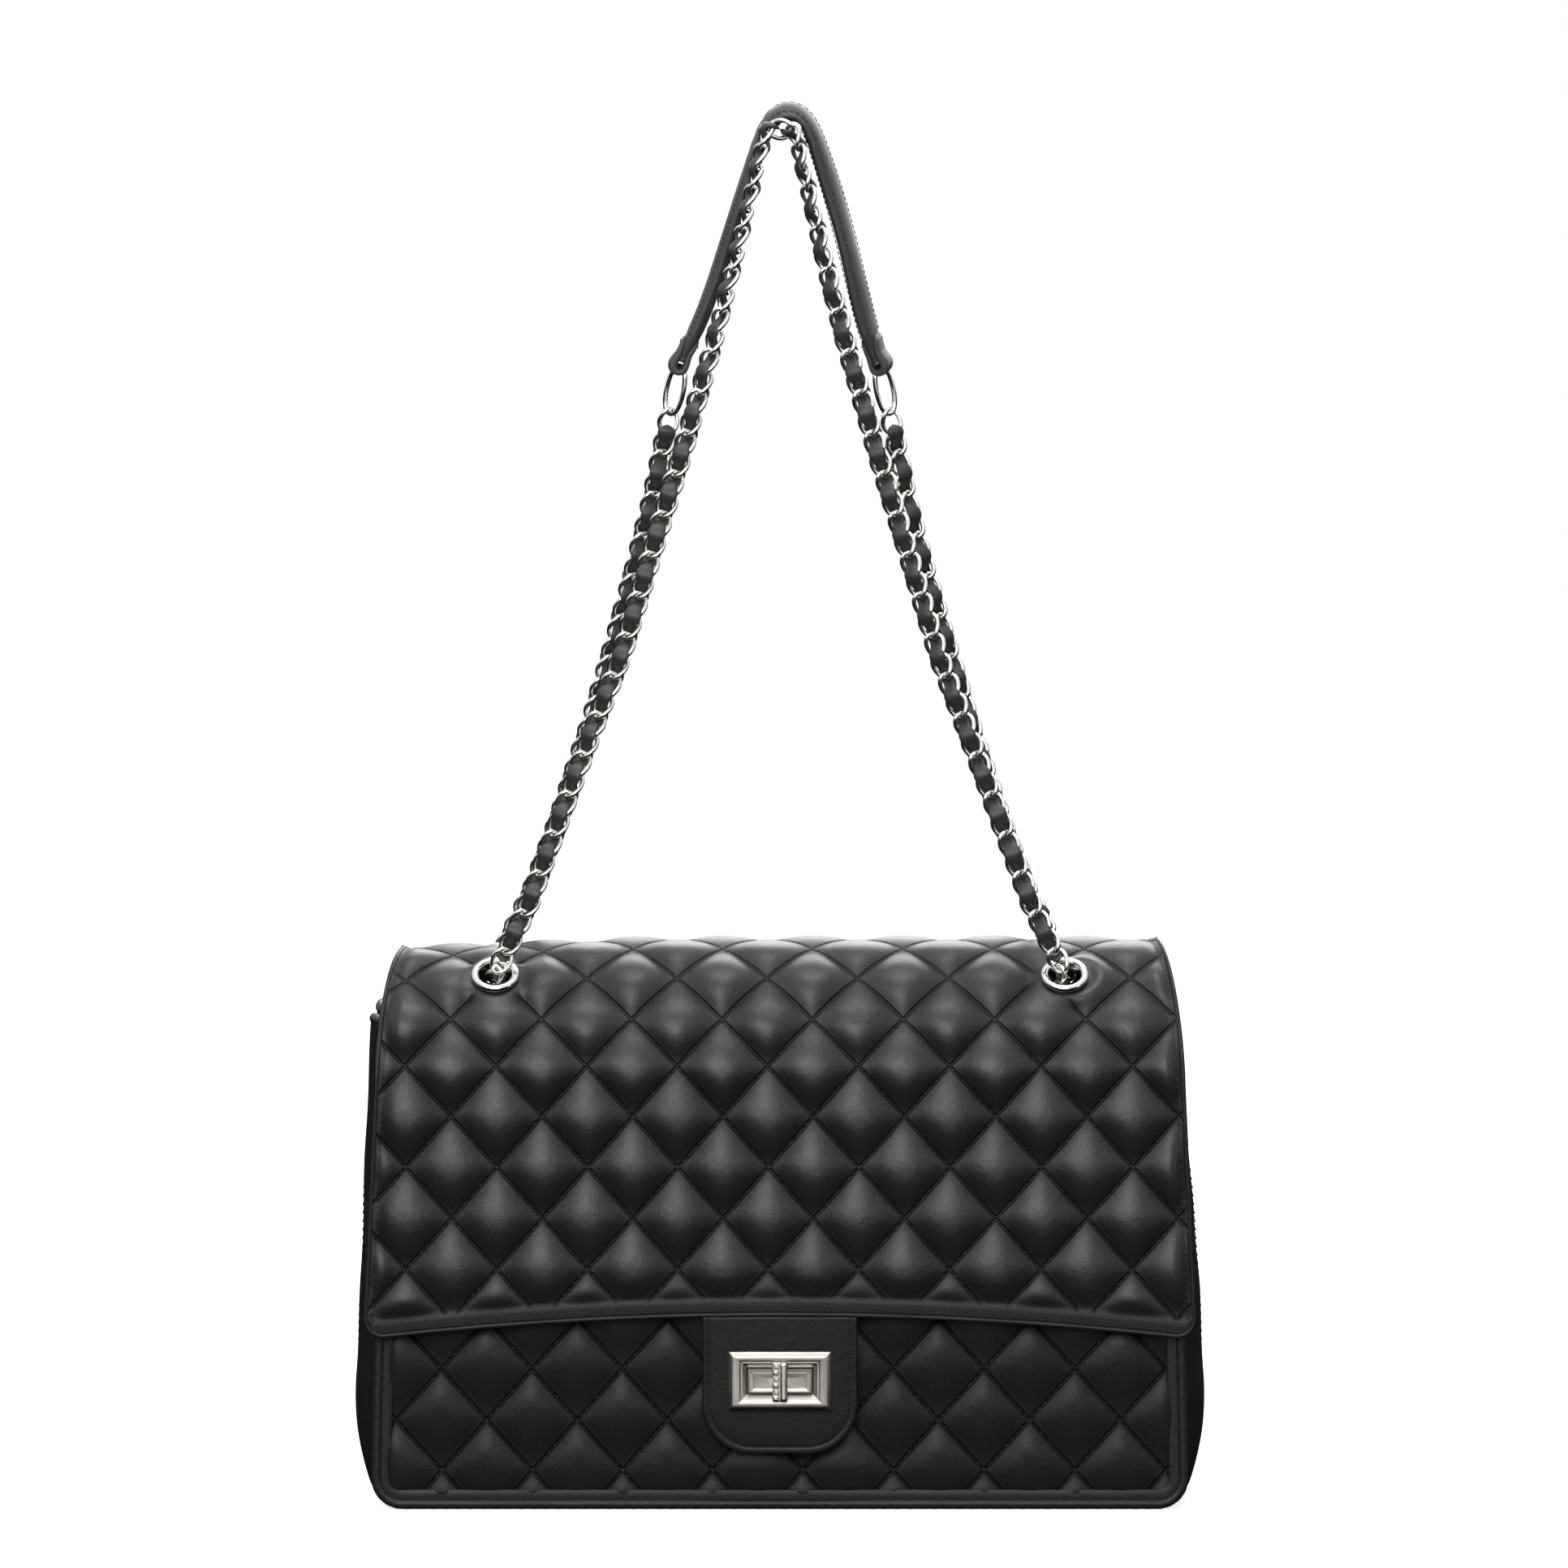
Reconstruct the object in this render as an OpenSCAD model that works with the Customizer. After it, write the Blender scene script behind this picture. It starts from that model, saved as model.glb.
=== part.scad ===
// Quilted shoulder bag with a turn lock and a chain strap laced with leather.
// The bag stands on its base with the strap up, as two arches that lean on each other.
// Origin: middle of the base, on the surface it stands on. The flap's face looks along -Y, +Z is up.

/* [Body] */
// Width of the front and back panels between their seams
body_w = 350; // [300:1:400]
// Depth from the face of the front panel to the face of the back panel
body_d = 110.3; // [100:0.1:125]
// Height at which the straight walls end and the rounded top starts
wall_h = 188; // [150:1:230]
// Thickness of the quilted panels with their wadding
panel_t = 6; // [4:0.5:8]
// Thickness of the gusset leather with its wadding
gusset_t = 4; // [3:0.5:6]
// How far the gussets bulge past the panels at their fullest
gusset_bulge = 13.5; // [8:0.5:20]
// Diameter of the piping along the seams
piping_d = 4.4; // [3:0.1:6]
// Thickness of the base leather
base_t = 3; // [2:0.5:5]
// Thickness of the stiffening boards
board_t = 1.6; // [1:0.1:3]
// Thickness of the lining cloth
lining_t = 0.8; // [0.6:0.1:1.5]

/* [Pocket] */
// Width of the slip pocket
pocket_w = 180; // [120:1:220]
// Height of the slip pocket
pocket_h = 100; // [70:1:120]
// Depth of the slip pocket
pocket_d = 8; // [7:0.5:12]

/* [Flap] */
// Thickness of the flap, cover and lining together
flap_t = 6; // [5:0.5:8]
// Thickness of the flap's lining leather
flap_lining_t = 1.4; // [1:0.1:2]
// How far the flap's lower edge stands past the panels' seams on each side
flap_past = 7; // [0:0.5:15]
// How much narrower the flap is across the top of the bag
flap_taper = 24; // [0:1:40]
// Height of the flap's lower corners above the base
flap_edge_z = 78; // [60:1:110]
// Rise of the flap's lower edge from its corners to its middle
flap_edge_rise = 8; // [2:0.5:15]
// Radius of the flap's lower corners
flap_corner_r = 8; // [4:0.5:20]
// Width of the edge binding
flap_binding_w = 3; // [2:0.5:6]

/* [Lock] */
// Height of the lock's centre above the base
lock_z = 58.5; // [50:0.5:66]
// Width of the tab that carries the frame
tab_w = 68; // [60:1:80]
// Height of the tab's lower end above the base
tab_end_z = 26; // [18:1:34]
// Radius of the tab's lower corners
tab_corner_r = 22; // [12:1:30]
// Thickness of the tab
tab_t = 3; // [2:0.5:4]
// Width of the frame plate
frame_w = 45; // [40:0.5:50]
// Height of the frame plate
frame_h = 25.6; // [22:0.1:28]
// Thickness of the frame plate
frame_t = 3; // [2:0.1:4]
// Width of the raised boss
boss_w = 28; // [24:0.5:30]
// Height of the raised boss
boss_h = 10.8; // [8:0.1:12]
// Length of the turn bar
bar_l = 17; // [15:0.1:20]
// Width of the turn bar
bar_w = 6.5; // [4:0.1:7]
// Thickness of the turn bar
bar_t = 2.6; // [1.5:0.1:4]
// Diameter of the turn bar's spindle
spindle_d = 4; // [3:0.1:5]

/* [Eyelets] */
// Distance between the left and right eyelets
eyelet_gap = 250; // [200:1:280]
// Angle of the front eyelets round the top, from the front face
eyelet_angle = 52; // [45:1:60]
// Outer diameter of an eyelet's rim
eyelet_od = 21; // [18:0.1:25]
// Bore of an eyelet
eyelet_id = 13.5; // [12.5:0.1:15]
// Diameter of the round rolled rim
eyelet_rim_d = 3.4; // [2:0.1:4]

/* [Chain] */
// Thickness of the chain's wire
wire_d = 2; // [1.6:0.1:2.2]
// Length of a link outside
link_l = 13.6; // [13:0.1:15]
// Width of a link outside
link_w = 10; // [9:0.1:10.5]
// Width of the leather lace
lace_w = 6.4; // [5:0.1:7]
// Thickness of the leather lace
lace_t = 3; // [2:0.1:3.5]
// Height of the strap's arch above its hinge
strand_rise = 368; // [320:1:420]

/* [Shoulder pad] */
// Width of the shoulder pad
pad_w = 22; // [16:0.5:28]
// Thickness of the shoulder pad
pad_t = 10; // [8:0.5:12]
// Thickness of the pad's leather
pad_skin_t = 1.2; // [0.8:0.1:2]
// Length of the rings at the pad's ends
ring_l = 24; // [20:0.5:30]
// Width of the rings
ring_w = 11; // [9:0.5:14]
// Thickness of the rings' wire
ring_wire_d = 2.2; // [1.8:0.1:2.6]

/* [Hidden] */
$fn = 96;

// Clearances and overruns
soft_gap = 0.3;
skin_gap = 0.1;
run_gap = 0.08;
over = 1;

// Colours as the bag shows them
leather_colour = "#242424";
lining_colour = "#3a3a3c";
steel_colour = "#c9c6c0";
board_colour = "#8a7a63";

// The rounded top is a half circle about this radius and height
dome_in = (body_d - panel_t) / 2 + soft_gap / 2;
dome_out = dome_in + flap_t;
front_face = -dome_in + soft_gap;
front_back = front_face + panel_t;
back_in = dome_in;
inner_front = front_back + soft_gap;
inner_back = back_in - soft_gap;

// Gusset outline seen from the front, as a quarter ellipse and a gentle taper above it
gusset_foot_h = 54;
gusset_foot_in = 14.5;
gusset_rise = 28;
gusset_top_z = wall_h + gusset_rise;
gusset_top_in = 7.5;
gusset_out = body_w / 2 + gusset_bulge;
gusset_steps = 7;
foot_gap = 0.4;
panel_foot = foot_gap + piping_d + soft_gap;

mouth_angle = 20;
mouth_bead_share = 0.8;
mouth_bead_d = panel_t * mouth_bead_share;
panel_corner_r = 18;
panel_top_in = 5;
base_half = body_w / 2 + gusset_bulge - gusset_foot_in - gusset_t - 2 * soft_gap;
board_in = 4;
base_board_t = 2.5;
lining_rise = 10;
lining_top_z = wall_h + lining_rise;
lining_half = base_half - soft_gap - over;
pocket_z_share = 0.37;
pocket_z = wall_h * pocket_z_share;

// Flap outline
flap_w = body_w + 2 * flap_past;
flap_side_top_in = 5.5;
edge_steps = 8;

// Turn lock, measured outwards from the front panel's face
tab_lift = 1.6;
tab_face = front_face - tab_lift - tab_t;
frame_face = tab_face - frame_t;
frame_bevel = 2.4;
frame_step_w = 34.5;
frame_step_h = 18;
frame_step_depth = 1.2;
opening_gap = 0.6;
frame_back_t = 1;
frame_back_in = 2;
boss_face = frame_face + frame_step_depth / 2;
boss_wall = 1.4;
bar_lift = 0.35;
bar_back = frame_face - bar_lift;
prong_w = 3;
prong_t = 1;
prong_at = boss_w / 2 - prong_w;
washer_w = 34;
washer_h = 16;
washer_t = 0.8;
clip_d = 7.4;
clip_t = 0.8;
collar_d = 5.8;
shaft_past = 0.5;
tab_tuck = 14;
tongue_lap = 6;

// Eyelets
eyelet_barrel_t = 0.8;
eyelet_washer_t = 1;
eyelet_x = eyelet_gap / 2;
// The chain's weight draws it to the inner side of each bore
chain_x = eyelet_x - (eyelet_id - link_w) / 2 + soft_gap;

// Chain geometry: a link turns on its neighbour's wire, whose middle is the pivot
link_gap = 0.3;
pitch = link_l - 2 * wire_d - link_gap;
pivot_out = (link_l - wire_d) / 2;
pivot_in = pitch - pivot_out;
hinge_slack = 0.2;
twist_links = 8;
full_twist = 45;
hinge_out = 6;
hinge_r = dome_out + hinge_out;
hinge_y = hinge_r * cos(eyelet_angle);
hinge_z = wall_h + hinge_r * sin(eyelet_angle);

// The two arches meet at the top: how far each stands from the bag's middle plane there
front_top_y = link_w / 2 + soft_gap;
rear_top_y = pad_w / 2 + soft_gap;
front_tilt = atan2(hinge_y - front_top_y, strand_rise);
rear_tilt = atan2(hinge_y - rear_top_y, strand_rise);

// Routes of the strap in the plane of each arch: across as a share of the eyelets' half distance,
// up as a share of the arch's height
front_route_shares = [[0.088, 0.945], [0.162, 0.84], [0.238, 0.742], [0.298, 0.673],
    [0.347, 0.614], [0.433, 0.519], [0.565, 0.37], [0.668, 0.28], [0.806, 0.155],
    [0.892, 0.076], [1, 0]];
rear_route_shares = [[0.394, 0.655], [0.46, 0.549], [0.52, 0.47], [0.604, 0.37], [0.682, 0.28],
    [0.802, 0.157], [0.892, 0.076], [1, 0]];
pad_route_shares = [[0, 1.023], [0.045, 1.018], [0.078, 1.002], [0.106, 0.977], [0.16, 0.922],
    [0.208, 0.868], [0.252, 0.815], [0.29, 0.768], [0.322, 0.737]];
apex_lean = 16;
lace_start = 8;
lace_sides = 8;
lace_step = 12;
under_r_share = 0.825;
loop_t = 5.4;
loop_w = 14;
loop_slack = 2.8;
loop_sag = 0.9;
loop_bore_d = ring_wire_d + loop_slack;
loop_below = 5;
loop_above = 10;
pad_sides = 12;

// Paths

// Distance along a path to each of its points
function path_sums(p, i = 0, run = 0) = i >= len(p) ? [] :
    let (s = i == 0 ? 0 : run + norm(p[i] - p[i - 1])) concat([s], path_sums(p, i + 1, s));

// Number of the stretch that holds distance s
function path_stretch(sums, s, i = 0) =
    i >= len(sums) - 2 || sums[i + 1] >= s ? i : path_stretch(sums, s, i + 1);

// Point at distance s
function path_at(p, sums, s) = let (i = path_stretch(sums, s))
    p[i] + (p[i + 1] - p[i]) * (s - sums[i]) / (sums[i + 1] - sums[i]);

// Direction at distance s, as the angle from the second axis towards the first
function path_angle(p, sums, s) = let (d = wire_d / 4, total = sums[len(sums) - 1],
    a = path_at(p, sums, max(0, s - d)), b = path_at(p, sums, min(total, s + d)))
    atan2(b[0] - a[0], b[1] - a[1]);

function path_length(p) = let (sums = path_sums(p)) sums[len(sums) - 1];
function reversed(p) = [for (i = [len(p) - 1 : -1 : 0]) p[i]];
function mirrored(p) = [for (q = p) [-q[0], q[1]]];
function route(shares) = [for (s = shares) [s[0] * chain_x, s[1] * strand_rise]];

// Front arch from its top link down to one hinge
front_path = concat([[0, strand_rise], [pivot_out, strand_rise],
    [pivot_out + 2 * pivot_in * sin(apex_lean), strand_rise - 2 * pivot_in * cos(apex_lean)]],
    route(front_route_shares));
front_half_l = path_length(front_path);
front_links = 2 * round((front_half_l - pivot_in) / (2 * pitch));
front_pitch = (front_half_l - pivot_in + hinge_slack) / front_links;

// Rear arch from a pad ring down to its hinge
rear_path = route(rear_route_shares);
rear_l = path_length(rear_path);
rear_links = 2 * round((rear_l - 2 * pivot_in) / (2 * pitch));
rear_pitch = (rear_l - 2 * pivot_in + hinge_slack) / rear_links;
rear_lean = path_angle(rear_path, path_sums(rear_path), 0);
pad_half = route(pad_route_shares);
pad_path = concat(reversed(mirrored(pad_half)), [for (i = [1 : len(pad_half) - 1]) pad_half[i]]);

// Run under the flap from a front hinge to the rear one: straight through both eyelets,
// with an arc between them
under_r = dome_in * under_r_share * tan(90 - eyelet_angle);
under_start = under_r / tan(90 - eyelet_angle);
under_mid_z = under_start / cos(90 - eyelet_angle);
under_steps = 12;
under_path = concat([[-hinge_r * cos(eyelet_angle), hinge_r * sin(eyelet_angle)]],
    [for (i = [0 : under_steps]) let (a = 180 + (90 - eyelet_angle) + 2 * eyelet_angle * i / under_steps)
        [under_r * cos(a), under_mid_z + under_r * sin(a)]],
    [[hinge_r * cos(eyelet_angle), hinge_r * sin(eyelet_angle)]]);
under_l = path_length(under_path);
under_links = 2 * round((under_l - 2 * pivot_out) / (2 * pitch));
under_pitch = (under_l - 2 * pivot_out) / under_links;

// Outlines

// Half width of the gusset's outer face at height z
function gusset_x(z) = z < gusset_foot_h ?
    gusset_out - gusset_foot_in + gusset_foot_in * sqrt(1 - pow(1 - z / gusset_foot_h, 2)) :
    gusset_out - gusset_top_in * (z - gusset_foot_h) / (gusset_top_z - gusset_foot_h);

// Heights of the gusset outline's points, closer together near the foot
gusset_heights = concat([for (i = [0 : gusset_steps]) gusset_foot_h * (1 - cos(90 * i / gusset_steps))],
    [gusset_top_z]);

// Quarter round from angle a
function corner(cx, cz, r, a) = [for (i = [0 : 6]) [cx + r * cos(a + 15 * i), cz + r * sin(a + 15 * i)]];

// Front view of a panel: straight sides that lean in a little, round lower corners
function panel_outline(half, foot, top, r) = concat(
    corner(-half + r, foot + r, r, 180), corner(half - r, foot + r, r, 270),
    [[half - panel_top_in, top], [-half + panel_top_in, top]]);

// Front view of the flap, drawn in from its edge by inset
function flap_outline(inset) = let (half = flap_w / 2 - inset, r = flap_corner_r,
    low = flap_edge_z + inset, run = half - r)
    concat(corner(-half + r, low + r, r, 180),
        [for (i = [1 : edge_steps - 1]) let (u = 2 * i / edge_steps - 1)
            [run * u, low + flap_edge_rise * (1 - u * u)]],
        corner(half - r, low + r, r, 270),
        [[half - flap_side_top_in, wall_h], [half - flap_taper / 2, wall_h + dome_out + over],
         [-half + flap_taper / 2, wall_h + dome_out + over], [-half + flap_side_top_in, wall_h]]);

// Turns a drawing with depth across and height up into a body of width w along X
module along_x(w) { translate([-w / 2, 0, 0]) rotate([90, 0, 90]) linear_extrude(w) children(); }

// Turns a front view into a body from depth y0 to y1
module along_y(y0, y1) { translate([0, y1, 0]) rotate([90, 0, 0]) linear_extrude(y1 - y0) children(); }

// Section of a shell that goes over the rounded top, straight down to front_z and back_z
module arch_section(r1, r0, front_z, back_z) {
    translate([0, wall_h]) difference() {
        circle(r1);
        circle(r0);
        translate([-r1 - over, -r1 - over]) square([2 * (r1 + over), r1 + over]);
    }
    translate([-r1, front_z]) square([r1 - r0, wall_h - front_z]);
    if (back_z < wall_h) translate([r0, back_z]) square([r1 - r0, wall_h - back_z]);
}

// Points down the flap's normal at an eyelet: side is -1 at the front and 1 at the rear
module at_eyelet(side, x) {
    translate([x, 0, wall_h]) rotate([side * (eyelet_angle - 90), 0, 0]) children();
}

// Body of the bag

module front_panel() {
    r0 = -front_back;
    r1 = -front_face;
    reach = r1 * sin(mouth_angle);
    color(leather_colour) difference() {
        intersection() {
            along_x(body_w) difference() {
                arch_section(r1, r0, foot_gap, wall_h);
                translate([-r1 - over, wall_h + reach]) square([2 * (r1 + over), r1]);
                translate([0, wall_h - over]) square([r1 + over, r1 + over]);
            }
            along_y(front_face - over, over)
                polygon(panel_outline(body_w / 2, panel_foot, wall_h + dome_out, panel_corner_r));
        }
        for (side = [-1, 1]) prong_slot(side);
    }
}

module back_panel() {
    color(leather_colour) along_y(back_in, back_in + panel_t)
        polygon(panel_outline(body_w / 2, panel_foot, wall_h - skin_gap, panel_corner_r));
}

module gusset() {
    outer = [for (z = gusset_heights) [gusset_x(z), max(z, foot_gap)]];
    inner = [for (i = [len(outer) - 1 : -1 : 0]) [outer[i][0] - gusset_t, outer[i][1]]];
    color(leather_colour) intersection() {
        along_y(inner_front, inner_back) polygon(concat(outer, inner));
        along_x(2 * gusset_out) {
            translate([0, wall_h]) circle(dome_in - 2 * soft_gap);
            translate([-dome_in, 0]) square([2 * dome_in, wall_h]);
        }
    }
}

module left_gusset() { mirror([1, 0, 0]) gusset(); }
module right_gusset() { gusset(); }

module base_panel() {
    color(leather_colour) translate([-base_half, inner_front, 0])
        cube([2 * base_half, inner_back - inner_front, base_t]);
}

module base_board() {
    color(board_colour) translate([-base_half + board_in, inner_front + board_in, base_t + skin_gap])
        cube([2 * (base_half - board_in), inner_back - inner_front - 2 * board_in, base_board_t]);
}

board_foot = base_t + base_board_t + 2 * skin_gap;
board_top = wall_h - over;

module front_board() {
    color(board_colour) difference() {
        translate([-lining_half, inner_front, board_foot])
            cube([2 * lining_half, board_t, board_top - board_foot]);
        translate([0, inner_front, lock_z])
            cube([washer_w + 2 * soft_gap, 3 * board_t, washer_h + 2 * soft_gap], center = true);
    }
}

module back_board() {
    color(board_colour) translate([-lining_half, inner_back - board_t, board_foot])
        cube([2 * lining_half, board_t, board_top - board_foot]);
}

lining_front = inner_front + board_t + soft_gap;
lining_back = inner_back - board_t - soft_gap;
lining_foot = board_foot + skin_gap;

module lining() {
    color(lining_colour) difference() {
        translate([-lining_half, lining_front, lining_foot])
            cube([2 * lining_half, lining_back - lining_front, lining_top_z - lining_foot]);
        translate([-lining_half + lining_t, lining_front + lining_t, lining_foot + lining_t])
            cube([2 * (lining_half - lining_t), lining_back - lining_front - 2 * lining_t, lining_top_z]);
    }
}

module slip_pocket() {
    y1 = lining_back - lining_t - skin_gap;
    color(lining_colour) difference() {
        translate([-pocket_w / 2, y1 - pocket_d, pocket_z]) cube([pocket_w, pocket_d, pocket_h]);
        translate([-pocket_w / 2 + lining_t, y1 - pocket_d + lining_t, pocket_z + lining_t])
            cube([pocket_w - 2 * lining_t, pocket_d, pocket_h]);
    }
}

module mouth_binding() {
    up = -front_face * sin(mouth_angle) + mouth_bead_d / 2 + skin_gap;
    reach = dome_in - 2 * soft_gap - mouth_bead_d / 2;
    color(leather_colour) translate([0, -sqrt(reach * reach - up * up), wall_h + up])
        rotate([0, 90, 0])
            cylinder(d = mouth_bead_d, h = body_w - 2 * panel_top_in - 2 * soft_gap, center = true);
}

// Piping round the two sides and the foot of a panel
module piping(y) {
    r = panel_corner_r + soft_gap + piping_d / 2;
    half = body_w / 2 - panel_corner_r;
    low = panel_foot + panel_corner_r;
    color(leather_colour) translate([0, y, 0]) {
        translate([0, 0, low - r]) rotate([0, 90, 0])
            cylinder(d = piping_d, h = 2 * half, center = true, $fn = 24);
        for (side = [0, 1]) mirror([side, 0, 0]) translate([half, 0, low]) {
            translate([r, 0, 0]) cylinder(d = piping_d, h = wall_h - low - soft_gap, $fn = 24);
            rotate([90, 0, 0]) rotate([0, 0, -90]) rotate_extrude(angle = 90) translate([r, 0])
                circle(d = piping_d, $fn = 24);
        }
    }
}

module front_piping() { piping(front_face + piping_d / 2); }
module back_piping() { piping(back_in + panel_t - piping_d / 2); }

// Turn lock

// A hole along Y through the lock's centre
module lock_bore(y0, y1, d) {
    translate([0, y0, lock_z]) rotate([-90, 0, 0]) cylinder(d = d, h = y1 - y0);
}

module prong_slot(side) {
    translate([side * prong_at, (front_face + front_back) / 2, lock_z])
        cube([prong_w + 2 * skin_gap, panel_t + 2 * over, prong_t + 2 * skin_gap], center = true);
}

module lock_boss() {
    depth = front_face - skin_gap - boss_face;
    washer_back = front_back + skin_gap + washer_t;
    color(steel_colour) difference() {
        union() {
            translate([-boss_w / 2, boss_face, lock_z - boss_h / 2]) cube([boss_w, depth, boss_h]);
            for (side = [-1, 1])
                translate([side * prong_at - prong_w / 2, boss_face + boss_wall, lock_z - prong_t / 2])
                    cube([prong_w, washer_back - boss_face - boss_wall, prong_t]);
        }
        lock_bore(boss_face - over, front_face + over, spindle_d + 2 * run_gap);
        lock_bore(boss_face + boss_wall, front_face + over, clip_d + 2 * soft_gap);
    }
}

module lock_washer() {
    color(steel_colour) translate([0, front_back + skin_gap + washer_t / 2, lock_z]) difference() {
        cube([washer_w, washer_t, washer_h], center = true);
        for (side = [-1, 1]) translate([side * prong_at, 0, 0])
            cube([prong_w + 2 * skin_gap, 2 * washer_t, prong_t + 2 * skin_gap], center = true);
    }
}

module turn_bar() {
    shaft_end = boss_face + boss_wall + clip_t + 2 * skin_gap + shaft_past;
    flat = bar_l / 2 - bar_w / 2;
    color(steel_colour) translate([0, bar_back, lock_z]) {
        for (side = [-1, 1]) translate([0, 0, side * flat])
            rotate([90, 0, 0]) cylinder(d = bar_w, h = bar_t);
        translate([-bar_w / 2, -bar_t, -flat]) cube([bar_w, bar_t, 2 * flat]);
        rotate([-90, 0, 0]) cylinder(d = collar_d, h = boss_face - skin_gap - bar_back);
        rotate([-90, 0, 0]) cylinder(d = spindle_d, h = shaft_end - bar_back);
    }
}

module spindle_clip() {
    y0 = boss_face + boss_wall + skin_gap;
    color(steel_colour) difference() {
        lock_bore(y0, y0 + clip_t, clip_d);
        lock_bore(y0 - over, y0 + clip_t + over, spindle_d + 2 * run_gap);
    }
}

// Flap

module flap_shell(r1, r0, inset) {
    intersection() {
        along_x(flap_w) arch_section(r1, r0, flap_edge_z - over, wall_h);
        along_y(-dome_out - over, dome_out + over) polygon(flap_outline(inset));
        translate([-flap_w, -2 * dome_out, 0]) cube([2 * flap_w, 4 * dome_out, 2 * (wall_h + dome_out)]);
    }
}

module eyelet_holes(d) {
    for (side = [-1, 1]) for (x = [-eyelet_x, eyelet_x]) at_eyelet(-side, x)
        translate([0, 0, dome_in - flap_t]) cylinder(d = d, h = 3 * flap_t);
}

barrel_d = eyelet_id + 2 * eyelet_barrel_t;
cover_in = dome_in + flap_lining_t + skin_gap;

module flap_cover() {
    color(leather_colour) difference() {
        flap_shell(dome_out, cover_in, flap_binding_w + skin_gap);
        eyelet_holes(barrel_d + 2 * skin_gap);
    }
}

module flap_lining() {
    color(lining_colour) difference() {
        flap_shell(dome_in + flap_lining_t, dome_in, flap_binding_w + skin_gap);
        eyelet_holes(barrel_d + 2 * skin_gap);
        tab_slot();
    }
}

module flap_binding() {
    color(leather_colour) difference() {
        flap_shell(dome_out, dome_in, 0);
        along_y(-dome_out - 2 * over, dome_out + 2 * over) polygon(flap_outline(flap_binding_w));
        translate([0, -dome_out + flap_t / 2, flap_edge_z + flap_edge_rise])
            cube([tab_w + 2 * soft_gap, 2 * flap_t, 4 * flap_edge_rise], center = true);
    }
}

function tab_outline(grow) = concat(
    corner(-tab_w / 2 + tab_corner_r, tab_end_z + tab_corner_r, tab_corner_r + grow, 180),
    corner(tab_w / 2 - tab_corner_r, tab_end_z + tab_corner_r, tab_corner_r + grow, 270),
    [[tab_w / 2 + grow, flap_edge_z + flap_edge_rise + tab_tuck + grow],
     [-tab_w / 2 - grow, flap_edge_z + flap_edge_rise + tab_tuck + grow]]);

// Room for the top of the tab between the flap's two layers
module tab_slot() { along_y(-dome_out, -dome_in + over) polygon(tab_outline(soft_gap)); }

module lock_tab() {
    tab_top = flap_edge_z + flap_edge_rise + flap_binding_w - soft_gap;
    tongue_foot = tab_top - tongue_lap;
    tongue_top = flap_edge_z + flap_edge_rise + tab_tuck;
    color(leather_colour) {
        difference() {
            along_y(tab_face, tab_face + tab_t) polygon(tab_outline(0));
            translate([-tab_w, tab_face - over, tab_top]) cube([2 * tab_w, tab_t + 2 * over, wall_h]);
            translate([-boss_w / 2 - opening_gap, tab_face - over, lock_z - boss_h / 2 - opening_gap])
                cube([boss_w + 2 * opening_gap, tab_t + 2 * over, boss_h + 2 * opening_gap]);
        }
        translate([-tab_w / 2, -cover_in + skin_gap, tongue_foot])
            cube([tab_w, flap_lining_t, tongue_top - tongue_foot]);
    }
}

// A rectangular frame lying in depth from y0 to y1
module ring_plate(w, h, y0, y1, hole_w, hole_h) {
    translate([0, 0, lock_z]) difference() {
        translate([-w / 2, y0, -h / 2]) cube([w, y1 - y0, h]);
        translate([-hole_w / 2, y0 - over, -hole_h / 2]) cube([hole_w, y1 - y0 + 2 * over, hole_h]);
    }
}

module lock_frame() {
    color(steel_colour) difference() {
        ring_plate(frame_w, frame_h, frame_face, tab_face - skin_gap,
            boss_w + 2 * opening_gap, boss_h + 2 * opening_gap);
        translate([-frame_step_w / 2, frame_face - over, lock_z - frame_step_h / 2])
            cube([frame_step_w, frame_step_depth + over, frame_step_h]);
        for (turn = [0, 180]) translate([0, frame_face, lock_z]) rotate([0, turn, 0]) {
            translate([0, 0, frame_h / 2]) rotate([45, 0, 0])
                cube([2 * frame_w, frame_bevel, frame_bevel], center = true);
            translate([frame_w / 2, 0, 0]) rotate([0, 0, 45])
                cube([frame_bevel, frame_bevel, 2 * frame_h], center = true);
        }
    }
}

module lock_frame_back() {
    y0 = tab_face + tab_t + skin_gap;
    color(steel_colour) ring_plate(frame_w - 2 * frame_back_in, frame_h - 2 * frame_back_in, y0,
        y0 + frame_back_t, boss_w + 2 * opening_gap, boss_h + 2 * opening_gap);
}

// Eyelets

module eyelet() {
    rim_r = (eyelet_od - eyelet_rim_d) / 2;
    flange_in = eyelet_id / 2;
    color(steel_colour) rotate_extrude() {
        translate([rim_r, dome_out + skin_gap + eyelet_rim_d / 2]) circle(d = eyelet_rim_d, $fn = 32);
        translate([flange_in, dome_out + skin_gap])
            square([rim_r - flange_in, eyelet_barrel_t]);
        translate([flange_in, dome_in - eyelet_washer_t - 2 * skin_gap])
            square([eyelet_barrel_t, flap_t + eyelet_washer_t + 3 * skin_gap + eyelet_barrel_t]);
    }
}

module front_eyelets() { for (x = [-eyelet_x, eyelet_x]) at_eyelet(-1, x) eyelet(); }
module rear_eyelets() { for (x = [-eyelet_x, eyelet_x]) at_eyelet(1, x) eyelet(); }

module eyelet_washers() {
    color(steel_colour) for (side = [-1, 1]) for (x = [-eyelet_x, eyelet_x]) at_eyelet(side, x)
        translate([0, 0, washer_seat]) difference() {
            cylinder(d = eyelet_od, h = eyelet_washer_t);
            translate([0, 0, -over]) cylinder(d = barrel_d + 2 * skin_gap, h = eyelet_washer_t + 2 * over);
        }
}
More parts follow.
